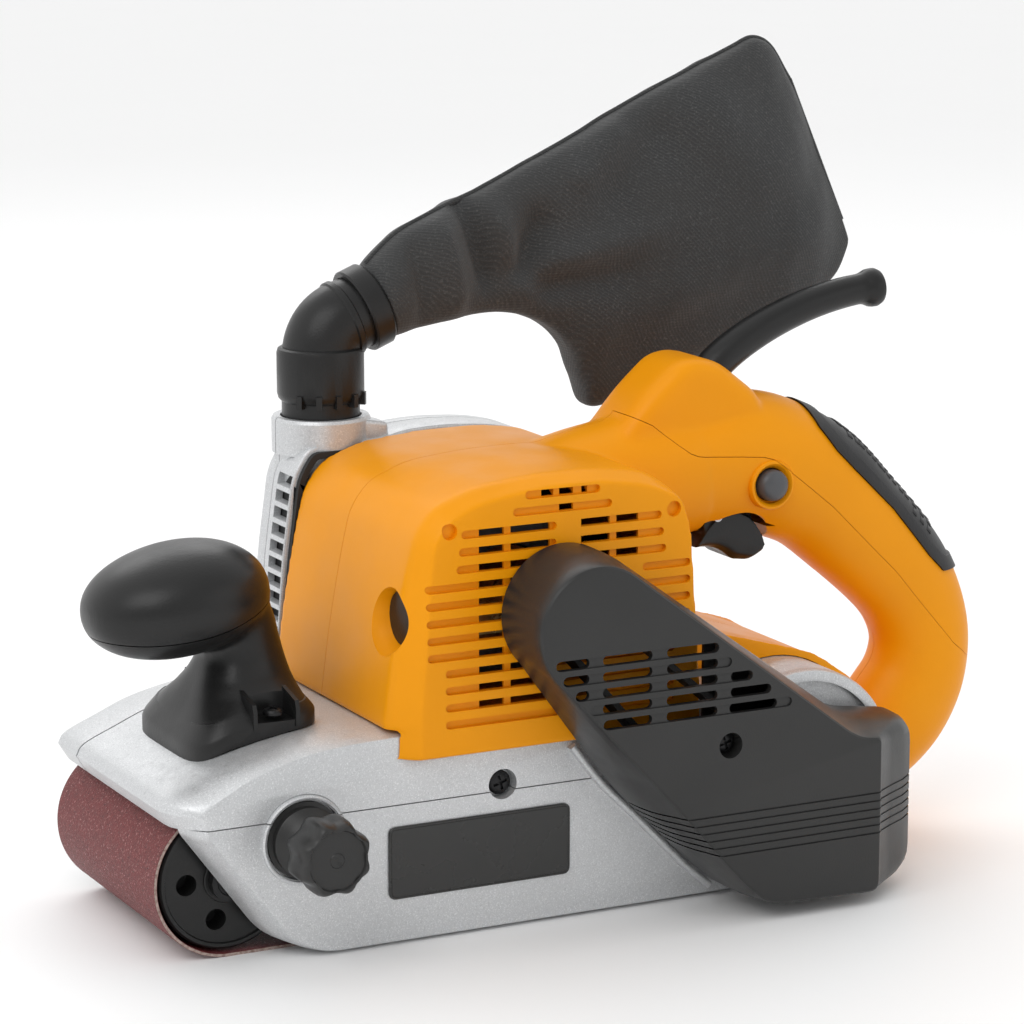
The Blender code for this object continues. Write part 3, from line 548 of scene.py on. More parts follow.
def twill():
    s = Surface("bag_twill", (0.027, 0.028, 0.029), 0.85)
    twist = s.wave("DIAGONAL", 330, 2.0, 1.0)
    cross = s.wave("Z", 260, 0.8, 2.0)
    s.tint(s.ramp(twist, 0.5, 1.0, 0.0, 0.3), (0.070, 0.070, 0.067))
    s.tint(s.ramp(s.noise(1100, 3, 0.8), 0.54, 0.72, 0.0, 0.5), (0.15, 0.15, 0.145))
    s.tint(s.ramp(s.noise(40, 4), 0.4, 0.7, 0.0, 0.35), (0.032, 0.032, 0.031))
    s.bump(twist, 0.00010, 0.4)
    s.bump(cross, 0.00010, 0.6)
    s.bump(s.noise(90, 4), 0.0006, 0.5)
    return s.set(Sheen_Weight=0.12, Sheen_Roughness=0.5).mat


SILVER = silver_paint()
STEEL = metal("ground_steel", (0.55, 0.55, 0.56), 0.28, (1, 6, 1))
ALLOY = metal("cast_alloy_finish", (0.60, 0.60, 0.61), 0.42)
COPPER = metal("copper_windings", (0.62, 0.24, 0.09), 0.35, (1, 12, 1), 0.5)
STACK = metal("stator_stack", (0.22, 0.22, 0.23), 0.45, (1, 30, 1), 0.4)
BRASS = metal("brass_stamped", (0.78, 0.56, 0.24), 0.3)
GRIT = abrasive()
FABRIC = twill()


def cork_material():
    s = Surface("cork_sheet", (0.36, 0.22, 0.12), 0.85)
    s.tint(s.ramp(s.noise(500, 4, 0.7), 0.45, 0.7), (0.16, 0.09, 0.05))
    s.bump(s.noise(500, 4, 0.7), 0.0004)
    return s.mat


SLOT_MATERIAL = {
    "cast_silver": SILVER, "housing_orange": ORANGE, "black_plastic": BLACK, "soft_grip": SOFT,
    "grey_button": GREY, "label_black": LABEL, "blackened_screw": SCREW,
    "machined_steel": STEEL, "cast_alloy": ALLOY, "copper_winding": COPPER,
    "laminated_steel": STACK, "brass": BRASS, "carbon": RUBBER, "black_rubber": RUBBER,
    "abrasive_cloth": GRIT, "cork": cork_material(), "bag_fabric": FABRIC}
DARKENED = {"tracking_yoke", "roller_bearing_near", "roller_bearing_far", "roller_axle"}
for row in frame["record"]["subparts"]:
    node = NODES[row["node"]]
    node.data.materials.clear()
    dark = row["node"] in DARKENED
    node.data.materials.append(SCREW if dark else SLOT_MATERIAL[row["material_slot"]])


# ------------------------------------------------------------ orange housing

BODY_CORNERS = [(-50.7, 81.3, 1), (-47, 109, 8), (-42, 136, 8), (-38, 153, 8), (-30, 163, 8),
                (-14, 169, 9), (10, 171.3, 10), (36, 171.7, 10), (57, 168.8, 8), (69, 160, 6),
                (74, 142, 6), (79, 81.3, 1)]
PANEL_CORNERS = [(-40, 81.3, 1), (-37.5, 109, 8), (-35.7, 136, 8), (-34, 150, 5),
                 (-29, 157.5, 5), (-18, 163.4, 6), (5, 167.3, 8), (31, 168.4, 8),
                 (55, 164.9, 7), (69, 158.8, 4), (73, 146, 4), (77.5, 81.3, 1)]
HANDLE_PATH = [
    (50, 148, 23.0), (66, 150, 24.0), (90, 154, 25.0), (112, 157, 26.4), (132, 157, 27.6),
    (148, 151.4, 27.4), (163.7, 143, 26.0), (179, 129.6, 24.4), (200, 109.3, 22.6),
    (211, 94, 21.2), (216.3, 77, 20.8), (213.6, 60, 21.6), (204.4, 46, 22.4), (192, 34, 20.5),
    (178, 27, 17.0)]
SEAM = [(62, 190), (66, 184.6), (82, 176.9), (91.5, 169), (96, 165.6), (99.5, 164.2),
        (103.5, 163.6), (117.7, 162.6), (128, 161.7), (132.4, 160.4), (136.5, 157.6), (161, 138.6),
        (193, 108.6), (222, 76), (231.4, 68.8), (262, 60)]
GUARD_PATH = [(108.5, 181), (112.5, 188), (118.5, 195.6), (128, 202.5), (139, 208.4),
              (150, 213), (161, 216.6), (172, 219.2), (183, 220.9), (193, 221.4)]
PAD_EDGE = [(152, 186), (157, 170), (163.5, 160.5), (172, 152), (191, 134.5), (209, 113.5),
            (217, 106), (236, 105.5)]


def mixed(share, bottom):
    """Housing outline between the panel's (0) and the body's (1)."""
    corners = []
    for p, b in zip(PANEL_CORNERS, BODY_CORNERS):
        x = p[0] + (b[0] - p[0]) * share
        z = p[1] + (b[1] - p[1]) * share
        corners.append((x, bottom if p[1] < 82 else z, p[2]))
    return rounded(corners)


def handle_bar(name, grow, first=0, last=None, squeeze=0.84, power=2.15):
    rows = flow(HANDLE_PATH[first:last], 7)
    path = [(x, Y_HANDLE, z) for x, z, _ in rows]
    return sweep(name, path, [r + grow for _, _, r in rows], 56, squeeze, power)


def make_housing():
    low = 81.3
    core = loft("core", [place(mixed(w, low), y, "Y") for w, y in
                         ((0.0, -72), (0.10, -71), (0.80, -66), (1.0, -63.5), (1.0, Y_FAN))])
    skirt = loft("skirt", [place(mixed(w, 70.2), y, "Y") for w, y in
                           ((0.0, -72), (0.10, -71), (0.68, -66.9))])
    cut(skirt, box("above_skirt", (-70, 100), (-80, -60), (92, 200)))
    saddle_line = ([(70, 108, 2), (95, 99.5, 5), (113, 94, 5), (130, 89, 5), (150, 81, 6),
                    (166, 71, 6), (178, 57, 6), (184, 38, 6), (181, 22, 4), (172, 17, 2)])
    under = [(x, z, 1) for x, z in arc(REAR_X, REAR_Z, REAR_R + 0.4, -14, 113.8, 20)]
    saddle = slab("saddle", rounded(saddle_line + under + [(70, low, 1)], 3), -42, 24, edge=4)
    hump_line = [(62, 166, 2), (75, 182, 6), (82, 189.5, 4), (93.5, 199.5, 3), (99, 201.2, 3),
                 (105, 201.2, 3), (114, 198.5, 4), (132, 184.5, 6), (140, 150, 2), (100, 140, 2),
                 (60, 146, 2)]
    hump = slab("hump", rounded(hump_line, 4), Y_HANDLE - 16.5, Y_HANDLE + 16.5, edge=6)
    neck = sweep("neck", [(x, Y_HANDLE, z) for x, z in flow([(40, 140), (60, 147), (84, 153),
                                                             (104, 156)], 6)],
                 [30, 30, 30, 29.6, 29, 28.6, 28.3, 28, 27.6, 27.2, 27, 26.6, 26.4, 26.2, 26,
                  25.8, 25.6, 25.4, 25.2], 48, 0.9, 2.2)
    shell = merged("housing", core, skirt, saddle, hump, neck, handle_bar("bar", 0))
    moulded(shell, 1.0, 8)

    def junction(x, y, z):
        flank = max(0.0, 1 - abs(x - 82) / 26) * (1 if z > 112 else 0)
        foot = max(0.0, 1 - abs(x - 190) / 16) * max(0.0, 1 - abs(z - 48) / 26)
        root = max(0.0, 1 - abs(x - 79) / 12) * max(0.0, 1 - abs(z - 102) / 14)
        strip = 1.0 if 84 < x < 190 and z < 108 and -50 < y < 32 else 0.0
        return 1.4 * max(flank, foot, root, 0.6 * strip) * (1 if y > -60 else 0)
    soften_where(shell, junction, 40)

    def hollow(name, gap, ends):
        return loft(name, [place(inset(mixed(w, low), gap), y, "Y") for w, y in
                           ((0.0, ends[0]), (0.05, ends[0] + 0.6), (0.75, -64.6), (1.0, -61.5),
                            (1.0, ends[1]))])
    cavity = hollow("cavity", 3.4, (Y_PANEL + 3.2, Y_FAN + 6))
    pocket = box("pocket", (106, 160), (Y_HANDLE - 15, Y_HANDLE + 15), (132, 163))
    notch = rounded([(103.5, 108, 1), (104, 125, 2), (108, 131.6, 3), (113, 137.8, 4),
                     (123, 139.8, 4), (131.5, 137, 4), (137.4, 128.5, 2), (139.4, 121, 2),
                     (140, 108, 1)])
    slot = slab("slot", notch, -45, 27)
    bore = sweep("bore", [(x, Y_HANDLE, z) for x, z in flow([(103, 171)] + GUARD_PATH[:7], 4)],
                 7.9, 32)
    dish = turned("dish", [(0, 24), (6.7, 24), (6.7, 31.0), (7.6, 32.2), (8.1, 33.4), (8.3, 50),
                           (0, 50)], BUTTON, "Y", 56)
    front_hole = turned("front_hole", [(0, -64), (13.8, -64), (13.2, -46), (12.0, -43),
                                       (9.2, -36), (9.0, -30), (0, -30)], MOTOR_HOLE,
                        "X", 64)
    rear_hole = rod("rear_hole", 10.6, 60, 92, MOTOR_HOLE, "X")
    cut(shell, box("rear_trim", (-80, 84), (Y_FAN - 0.5, 60), (60, 200)))
    cut(shell, cavity, rod("rear_arch", REAR_R + 0.4, -50, 30, (REAR_X, 0, REAR_Z)))
    funnel = rod("funnel", 15.5, -47, -34.5, MOTOR_HOLE, "X")
    combine(funnel, hollow("limit", 1.2, (Y_PANEL + 1.2, Y_FAN)), "INTERSECT")
    unite(shell, funnel, hoop("button_ring", [(7.4, 27), (9.9, 27), (9.9, 32.2), (9.4, 33.1),
                                              (8.6, 33.3), (7.4, 32.2)], BUTTON))
    cut(shell, pocket, slot, bore, dish, front_hole, rear_hole)
    for x in (-27.6, 65.2):
        cut(shell, rod("well", 3.0, Y_PANEL - 3, Y_PANEL + 2.4, (x, 0, 154.6)))

    def opening(x0, x1, z, depth, half=1.55):
        cut(shell, slab("vent", stadium(x0, x1, z, half), Y_PANEL - 3, Y_PANEL + depth))
    for z, span, deep in ((165.3, (3, 34), [(10.4, 15.4), (17.8, 23.6), (27, 29.5)]),
                          (159.4, (-2, 39), [(17.8, 23.6)])):
        opening(*span, z, 1.8)
        for x0, x1 in deep:
            cut(shell, box("vent", (x0, x1), (Y_PANEL - 3, Y_PANEL + 8), (z - 1.3, z + 1.3)))
    for row_index in range(12):
        z = 153.0 - 6.4 * row_index
        if row_index < 3:
            spans = [(-23 - row_index, 16), (26, 60 + row_index)]
        elif row_index < 8:
            spans = [(-37.4 + 0.1 * row_index, 44), (52, 72.5)]
        else:
            spans = [(-29.5, 44), (26, 66)]
        for x0, x1 in spans:
            opening(x0, x1, z, 1.9)
        if row_index < 11:
            right = [(26, 39), (41.8, 51)] if row_index < 3 else [(19, 32)]
            for x0, x1 in [(-15, -4.9), (-2.1, 14)] + right:
                cut(shell, box("vent", (x0, x1), (Y_PANEL - 3, Y_PANEL + 8), (z - 1.5, z + 1.5)))

    bed = slab("bed", PAD_EDGE + [(252, 105.5), (252, 192), (152, 192)], -45, 30)
    cut(bed, handle_bar("bar", -2.5, 4, 12))
    cut(shell, bed)

    above = SEAM + [(262, 240), (62, 240)]
    near = copy_of(shell, "housing_left_shell")
    cut(near, box("far_side", (-100, 300), (Y_SPLIT - 0.1, 120), (0, 300)),
        slab("above", [(x, z - 0.13) for x, z in above], -90, Y_SPLIT + 5))
    far = copy_of(shell, "housing_right_shell")
    cut(far, box("near_front", (-100, 62.2), (-120, Y_SPLIT + 0.2), (0, 300)))
    below = [(62, 190), (62, -20), (300, -20), (300, 62)] + SEAM[::-1][:-1]
    cut(far, slab("near_low", [(x, z + 0.13) for x, z in below], -120, Y_SPLIT + 0.2))
    bpy.data.objects.remove(shell)
    done(near, "machine", "housing_orange", "housing_left", angle=32)
    done(far, "machine", "housing_orange", "housing_right", angle=32)

    # Black rubber gasket in the gap between the housing and the fan case, also standing in as
    # painted shade for the shadow in that gap.
    gasket_and_gap_shade = slab("fan_gasket_and_gap_shade", inset(rounded(FAN_CORNERS), 2.0), Y_FAN + 0.1, Y_FAN + 2.6)
    cut(gasket_and_gap_shade, slab("hole", inset(rounded(FAN_CORNERS), 4.5), Y_FAN - 3, Y_FAN + 8))
    done(gasket_and_gap_shade, "machine", "black_rubber")


def make_pad():
    edge = [(x, z + 0.3) for x, z in PAD_EDGE]
    pad = handle_bar("handle_pad_soft", 1.1, 4, 12)
    keep = slab("keep", edge + [(252, 105.8), (252, 192), (152.3, 192)], -45, 30)
    combine(pad, keep, "INTERSECT")
    cut(pad, handle_bar("bar", -2.3, 4, 12))
    middle = [(159, 184), (162, 172), (167.5, 164), (175.5, 156), (194.5, 138), (211.5, 117.5),
              (219, 111.5), (252, 111.5), (252, 192), (160, 192)]
    dip = slab("dip", rounded([(x, z, 3) for x, z in middle], 3), -45, 30)
    cut(dip, handle_bar("bar", 0.3, 4, 12))
    cut(pad, dip)
    rows = flow(HANDLE_PATH[4:12], 24)
    bumps = []
    start, stop = 34, 94
    for k in range(17):
        i = int(start + (stop - start) * k / 16)
        x, z, r = rows[i]
        ahead = Vector((rows[i + 1][0] - rows[i - 1][0], 0, rows[i + 1][1] - rows[i - 1][1]))
        ahead.normalize()
        up = Vector((-ahead.z, 0, ahead.x))
        for j in range(-4, 5):
            a = math.radians(13.0 * j)
            out = up * math.cos(a) + Vector((0, math.sin(a), 0))
            side = ahead.cross(out)
            spot = (Vector((x, Y_HANDLE, z)) + up * math.cos(a) * (r + 0.2)
                    + Vector((0, math.sin(a) * 0.84 * (r + 0.2), 0)))
            if spot.z < np.interp(spot.x, [163, 177, 196, 213, 220, 240],
                                  [181, 159, 141, 120, 114, 114]):
                continue
            corners = []
            for lift, size in ((-0.6, 1.0), (0.5, 1.0), (0.85, 0.72)):
                for u, v in ((-1, -1), (1, -1), (1, 1), (-1, 1)):
                    corners.append(spot + ahead * 1.35 * u * size + side * 2.0 * v * size
                                   + out * lift)
            faces = [[3, 2, 1, 0], [8, 9, 10, 11]]
            for level in (0, 4):
                for q in range(4):
                    faces.append([level + q, level + (q + 1) % 4, level + 4 + (q + 1) % 4,
                                  level + 4 + q])
            bumps.append(add("bump", corners, faces))
    pad = merged("handle_pad_soft", pad, *bumps)
    done(pad, "machine", "soft_grip", "handle_pad", angle=40)


# ------------------------------------------------------------ drive-belt cover

def cover_section(share, shrink, y):
    """Outline of the cover between its face (0) and its base (1)."""
    face = [(47.5, 50.4, 14), (77.5, 16.5, 8), (88.5, 6.4, 7), (138, 5, 5), (138, 66, 2.5),
            (127.5, 67.2, 7)]
    base = [(38.5, 51.0, 14), (74, 15.7, 8), (87, 5.4, 6), (165, 6, 12), (165, 67, 10),
            (131, 71.5, 8)]
    line = arc(16.4 + 1.6 * share, 119.8 + 1.4 * share, 24.6 + 0.8 * share, 53.5, 224, 26)
    corners = [(f[0] + (b[0] - f[0]) * share, f[1] + (b[1] - f[1]) * share,
                f[2] + (b[2] - f[2]) * share) for f, b in zip(face, base)]
    outline = line + softened([line[-1]] + corners + [line[0]])[1:-1]
    return place(inset(outline, shrink) if shrink else outline, y, "Y")


# Share of the way from the face to the base, and Y, of the sections behind the face
COVER_RUN = [(0.02, -104), (0.30, -99), (0.62, -94), (0.84, -89), (0.96, -82),
             (1.0, -72.6)]


def cover_body(name, shrink, front):
    """Tapering body of the cover, smaller by shrink and with its face at front."""
    sections = []
    if shrink == 0:
        sections += [cover_section(0.0, 2.0, Y_COVER), cover_section(0.0, 1.1, -105.8),
                     cover_section(0.0, 0.4, -105.2)]
    sections += [cover_section(w, shrink, max(y, front)) for w, y in COVER_RUN
                 if y > front + 0.5]
    if shrink:
        sections = [cover_section(0.02, shrink, front)] + sections
    return loft(name, sections)


def make_cover():
    cover = cover_body("drive_cover_shell", 0, Y_COVER)
    hollow = cover_body("hollow", 2.6, -103.2)
    cut(hollow, box("back", (77, 200), (-74.6, -50), (-20, 200)))
    cut(cover, hollow)
    cut(cover, box("back", (-60, 200), (-73.2, -50), (-20, 200)),
        rod("pulley_hole", 20, -78, -70, DRIVE_AXLE))
    rows = [(109, [(-2, 12), (17.5, 38), (44, 65.5)], []),
            (103, [(1, 12), (17.5, 38), (44, 65.5)], [(44, 71)]),
            (97, [(6, 12), (17.5, 38), (44, 65.5), (71, 80)], []),
            (91, [(17.5, 38), (44, 65.5), (71, 88)], [(12, 38)]),
            (85, [(17.5, 38), (44, 65.5), (70.5, 91)], [(70.5, 97)])]
    for z, through, blind in rows:
        for x0, x1 in through:
            cut(cover, slab("slot", stadium(x0, x1, z, 1.9), -110, -100))
        for x0, x1 in blind + [(through[0][0], through[-1][1])]:
            cut(cover, slab("slot", stadium(x0, x1, z, 1.9), -110, -105.2))
    cut(cover, rod("well", 4.9, -110, -99.6, COVER_SCREW))
    cup = rod("cup", 6.4, -104.5, -97.5, COVER_SCREW)
    cut(cup, rod("well", 4.9, -110, -99.6, COVER_SCREW))
    unite(cover, cup)
    for k in range(6):
        z = 44.6 - 3.15 * k
        groove = box("groove", (-30, 190), (-112, -75), (z - 0.38, z + 0.38))
        cut(groove, cover_body("core", 0.75, -105.3))
        cut(cover, groove)
    done(cover, "machine", "black_plastic", "drive_belt_cover", mat=SATIN, angle=24)

    lip = [(24.5, 67.5), (37.5, 51), (54, 34.5), (72, 16), (84, 5.2)]
    path = flow([(x, Y_SIDE - 0.9, z) for x, z in lip], 8)
    rib = sweep("cover_lip", path, 1.5, 16, 1.5, 3.5)
    done(rib, "machine", "cast_silver")


# ------------------------------------------------------------ silver castings

HOOD = [(-135, 59.4), (-131.8, 63.8), (-120, 69.0), (-104, 75.2), (-82, 79.6), (-60, 81),
        (-20, 81)]
HOOD_SIDE = [(-124.5, 58.6), (-122.5, 61.6), (-114.5, 65.8), (-102, 71.8), (-82, 77.2),
             (-58, 79.4), (-20, 79.8)]


def make_castings():
    rear = arc(REAR_X, REAR_Z, REAR_R, 114, -60, 40)

    def screw_recess():
        return rod("recess", 5.8, Y_SIDE - 2, Y_SIDE + 6.4, SIDE_SCREW)

    def knob_bore():
        return rod("knob_bore", 15.0, Y_SIDE - 5, Y_SIDE + 3, KNOB)

    def rim(share, shrink=0.0):
        top = [(a[0] + (b[0] - a[0]) * share, a[1] + (b[1] - a[1]) * share)
               for a, b in zip(HOOD, HOOD_SIDE)]
        line = flow(top, 6)
        outline = line + rear + [(137, 4), (-122.5, 4), (-122.5, 50.4), (-131 + 9 * share, 53)]
        return inset(outline, shrink) if shrink else outline
    frame_top = loft("upper_casting", [place(rim(w, s), y, "Y") for w, s, y in (
        (1.0, 1.6, Y_SIDE), (1.0, 0.6, Y_SIDE + 0.4), (0.90, 0.0, Y_SIDE + 1.8),
        (0.52, 0.0, -62.0), (0.22, 0.0, -57.5), (0.05, 0.0, -53), (0.0, 0.0, -48.5),
        (0.0, 0.0, 49), (0.0, 0.5, 51.3), (0.0, 1.4, Y_OPEN))])
    belt_space = (arc(X_REAR, Z_AXLE, ROLLER_R + 4, -40, 90, 24)
                  + arc(X_FRONT, Z_AXLE, ROLLER_R + 2.2, 90, 132, 12)
                  + [(-140, 47), (-140, -5), (138, -5)])
    cut(frame_top, slab("space", belt_space, Y_WALL, Y_OPEN + 5),
        box("below", (-200, 200), (Y_SIDE - 6, Y_WALL + 0.2), (-10, Z_PARTING)),
        screw_recess())
    cut(frame_top, rod("knob_ring", 17.1, Y_SIDE - 5, Y_WALL + 1, KNOB))
    step = slab("step", arc(REAR_X, REAR_Z, REAR_R - 4.5, -70, 120, 30)
                + [(100, 50), (110, 0)], Y_SIDE - 5, Y_SIDE + 2.6)
    cut(frame_top, step)
    groove = box("groove", (-150, -52), (29.4, 30.4), (40, 100))
    keep = slab("keep", inset(rim(0.0), 1.6), -80, 80)
    cut(groove, keep)
    cut(frame_top, groove)
    done(frame_top, "machine", "cast_silver", "main_frame", angle=28)

    top = Z_PARTING - 0.45
    corners = [(-128.6, top, 0.5), (-127.6, 50.2, 2), (-97, 8.6, 8), (-80, 0.9, 8),
               (110, 0.9, 12), (134, 4, 10), (153, 14, 10), (164, 29, 8), (166, top, 0.5)]

    def plate(share, lift):
        slide = 7.0 * share
        return rounded([(x + (slide if i < 3 else slide * 0.5 if i == 3 else 0),
                         z + (lift if z < 40 else 0), r) for i, (x, z, r) in enumerate(corners)], 8)
    side = loft("side_casting", [place(plate(w, s), y, "Y") for w, s, y in (
        (1.0, 1.6, Y_SIDE), (0.98, 0.7, Y_SIDE + 0.4), (0.86, 0.15, Y_SIDE + 1.6),
        (0.5, 0.0, -62.0), (0.2, 0.0, -57.5), (0.05, 0.0, Y_WALL))])
    ring = [(0, 60), (16.9, 60), (16.9, 67.4), (16.7, 68.0), (16.1, 68.4), (15.5, 68.3),
            (15.1, 67.7), (0, 67.7)]
    boss = turned("boss", ring, KNOB, "Y", 72)
    cut(boss, box("over", (-120, -50), (-90, -40), (top, 90)))
    boss_top = turned("boss_top", ring, KNOB, "Y", 72)
    cut(boss_top, box("under", (-120, -50), (-90, -40), (20, top + 0.45)))
    beam = box("beam", (-31, 74), (Y_WALL - 3, 46), (8, 21))
    seat = box("seat", (-6, 2), (-13, 13), (20.5, 41))
    unite(side, boss, beam, seat)
    cut(side, screw_recess(), knob_bore(),
        rod("spindle_bore", 5.2, Y_SIDE - 9, Y_WALL + 5, KNOB),
        rod("bearing_bore", 14.3, Y_SIDE - 5, Y_WALL + 5, DRIVE_AXLE),
        rod("rod_bore", 4.0, -20, 20, (0, 0, 29), "X"))
    done(side, "machine", "cast_silver", "side_frame", angle=28)
    cut(boss_top, knob_bore())
    done(boss_top, "machine", "cast_silver")


FAN_CORNERS = [(76, 81.3, 1), (76, 148, 6), (72, 160, 6), (58, 167.5, 7), (42, 170.8, 7),
               (22, 172, 7), (6, 171, 5), (-3, 168.5, 3), (-34, 167.5, 4), (-41, 157, 6),
               (-45.5, 125, 6), (-49, 81.3, 1)]


def make_fan_case():
    line = rounded(FAN_CORNERS, 6)
    case = slab("fan_case_front", line, Y_FAN + 2.8, SPOUT_Y - 0.2, edge=0.4, edge_low=1.2)
    cut(case, slab("hollow", inset(line, 3), Y_FAN - 3, SPOUT_Y + 5))
    cover = slab("fan_case_back", line, SPOUT_Y + 0.2, Y_FAN_END, edge=4.0, edge_low=0.4)
    cut(cover, slab("hollow", inset(line, 3.4), SPOUT_Y - 5, Y_FAN_END - 3))
    for k in range(11):
        z = 153.0 - 6.4 * k
        louvre = rounded([(-60, z - 3.8, 0.2), (-34, z, 0.2), (-34, z + 4.4, 0.2),
                          (-60, z + 0.9, 0.2)], 1)
        cut(case, slab("louvre", louvre, Y_FAN + 3.6, SPOUT_Y - 4.0))
    for ring_index in range(4):
        r = 12 + 6.2 * ring_index
        for q in range(6):
            a0 = 60 * q + 7 + 3 * ring_index % 2
            outer = arc(MOTOR_X, MOTOR_Z, r + 1.5, a0, a0 + 46, 10)
            inner = arc(MOTOR_X, MOTOR_Z, r - 1.5, a0 + 46, a0, 10)
            cut(cover, slab("vent", outer + inner, Y_FAN_END - 6, Y_FAN_END + 4))
    for name, shell, side in (("near", case, -1), ("far", cover, 1)):
        ring = hoop("spout_" + name, [(19.4, 163), (19.4, 175.8), (18.7, 177.0), (16.0, 177.0),
                                      (15.7, 176.4), (15.7, 163)], SPOUT, "Z", 72)
        neck = hoop("neck_" + name, [(17.9, 150), (17.9, 163.5), (15.7, 163.5), (15.7, 150)],
                    SPOUT, "Z", 72)
        low, high = (SPOUT_Y - 0.25, 120) if side < 0 else (0, SPOUT_Y + 0.25)
        unite(ring, neck)
        cut(ring, box("half", (-80, 60), (low, high), (100, 220)))
        cut(shell, rod("bore", 15.6, 153, 200, SPOUT, "Z"))
        if side > 0:
            floor = rod("floor", 17.9, 149, 153.4, SPOUT, "Z")
            cut(floor, box("half", (-80, 60), (low, high), (100, 220)))
            unite(ring, floor)
        unite(shell, ring)
    boss = slab("spout_boss", rounded([(-13, 160, 1), (2, 160, 1), (1, 174.5, 2),
                                       (-10, 176.2, 2)], 4), SPOUT_Y - 15, SPOUT_Y - 4, edge=1.5)
    cut(boss, rod("bore", 19.0, 120, 200, SPOUT, "Z"))
    unite(case, boss)
    # Dark sheet inside the fan case: painted shade that darkens the chamber behind the louvres, not
    # a part of the machine.
    painted_shade_sheet = slab("fan_chamber_painted_shade", inset(line, 3.3), Y_FAN + 3.2, SPOUT_Y - 1)
    cut(painted_shade_sheet, slab("hollow", inset(line, 4.3), Y_FAN - 3, SPOUT_Y + 5),
        rod("bore", 16.0, 120, 200, SPOUT, "Z"))
    done(painted_shade_sheet, "machine", "black_plastic")
    done(case, "machine", "cast_silver", "fan_case", angle=30)
    done(cover, "machine", "cast_silver", "fan_case_cover", angle=30)
    for k, (x, z) in enumerate(((-40, 92), (68, 92), (62, 155), (-30, 150))):
        screw("fan_screw_%d" % (k + 1), (x, Y_FAN_END + 0.9, z), "Y", 3.6, "machine", far=True)


def screw(name, centre, axis, r, body, far=False, replaced=(), turn=0.3):
    """Pan-head screw with a cross recess."""
    profile = [(0, -2.6), (r * 0.8, -2.6), (r, -1.9), (r, -1.0), (r * 0.86, -0.3),
               (r * 0.5, 0.1), (0, 0.2)]
    head = turned(name, profile, (0, 0, 0), "Z", 40)
    for k in range(2):
        bar = box("bar", (-r * 0.62, r * 0.62), (-r * 0.13, r * 0.13), (-1.1, 2))
        bar.data.transform(Matrix.Rotation(turn + k * math.pi / 2, 4, "Z"))
        cut(head, bar)
    if axis == "Y":
        head.data.transform(Matrix.Rotation(math.radians(-90 if far else 90), 4, "X"))
    head.data.transform(Matrix.Translation(Vector(centre) * MM))
    return done(head, body, "blackened_screw", *replaced)


# ------------------------------------------------------------ front grip

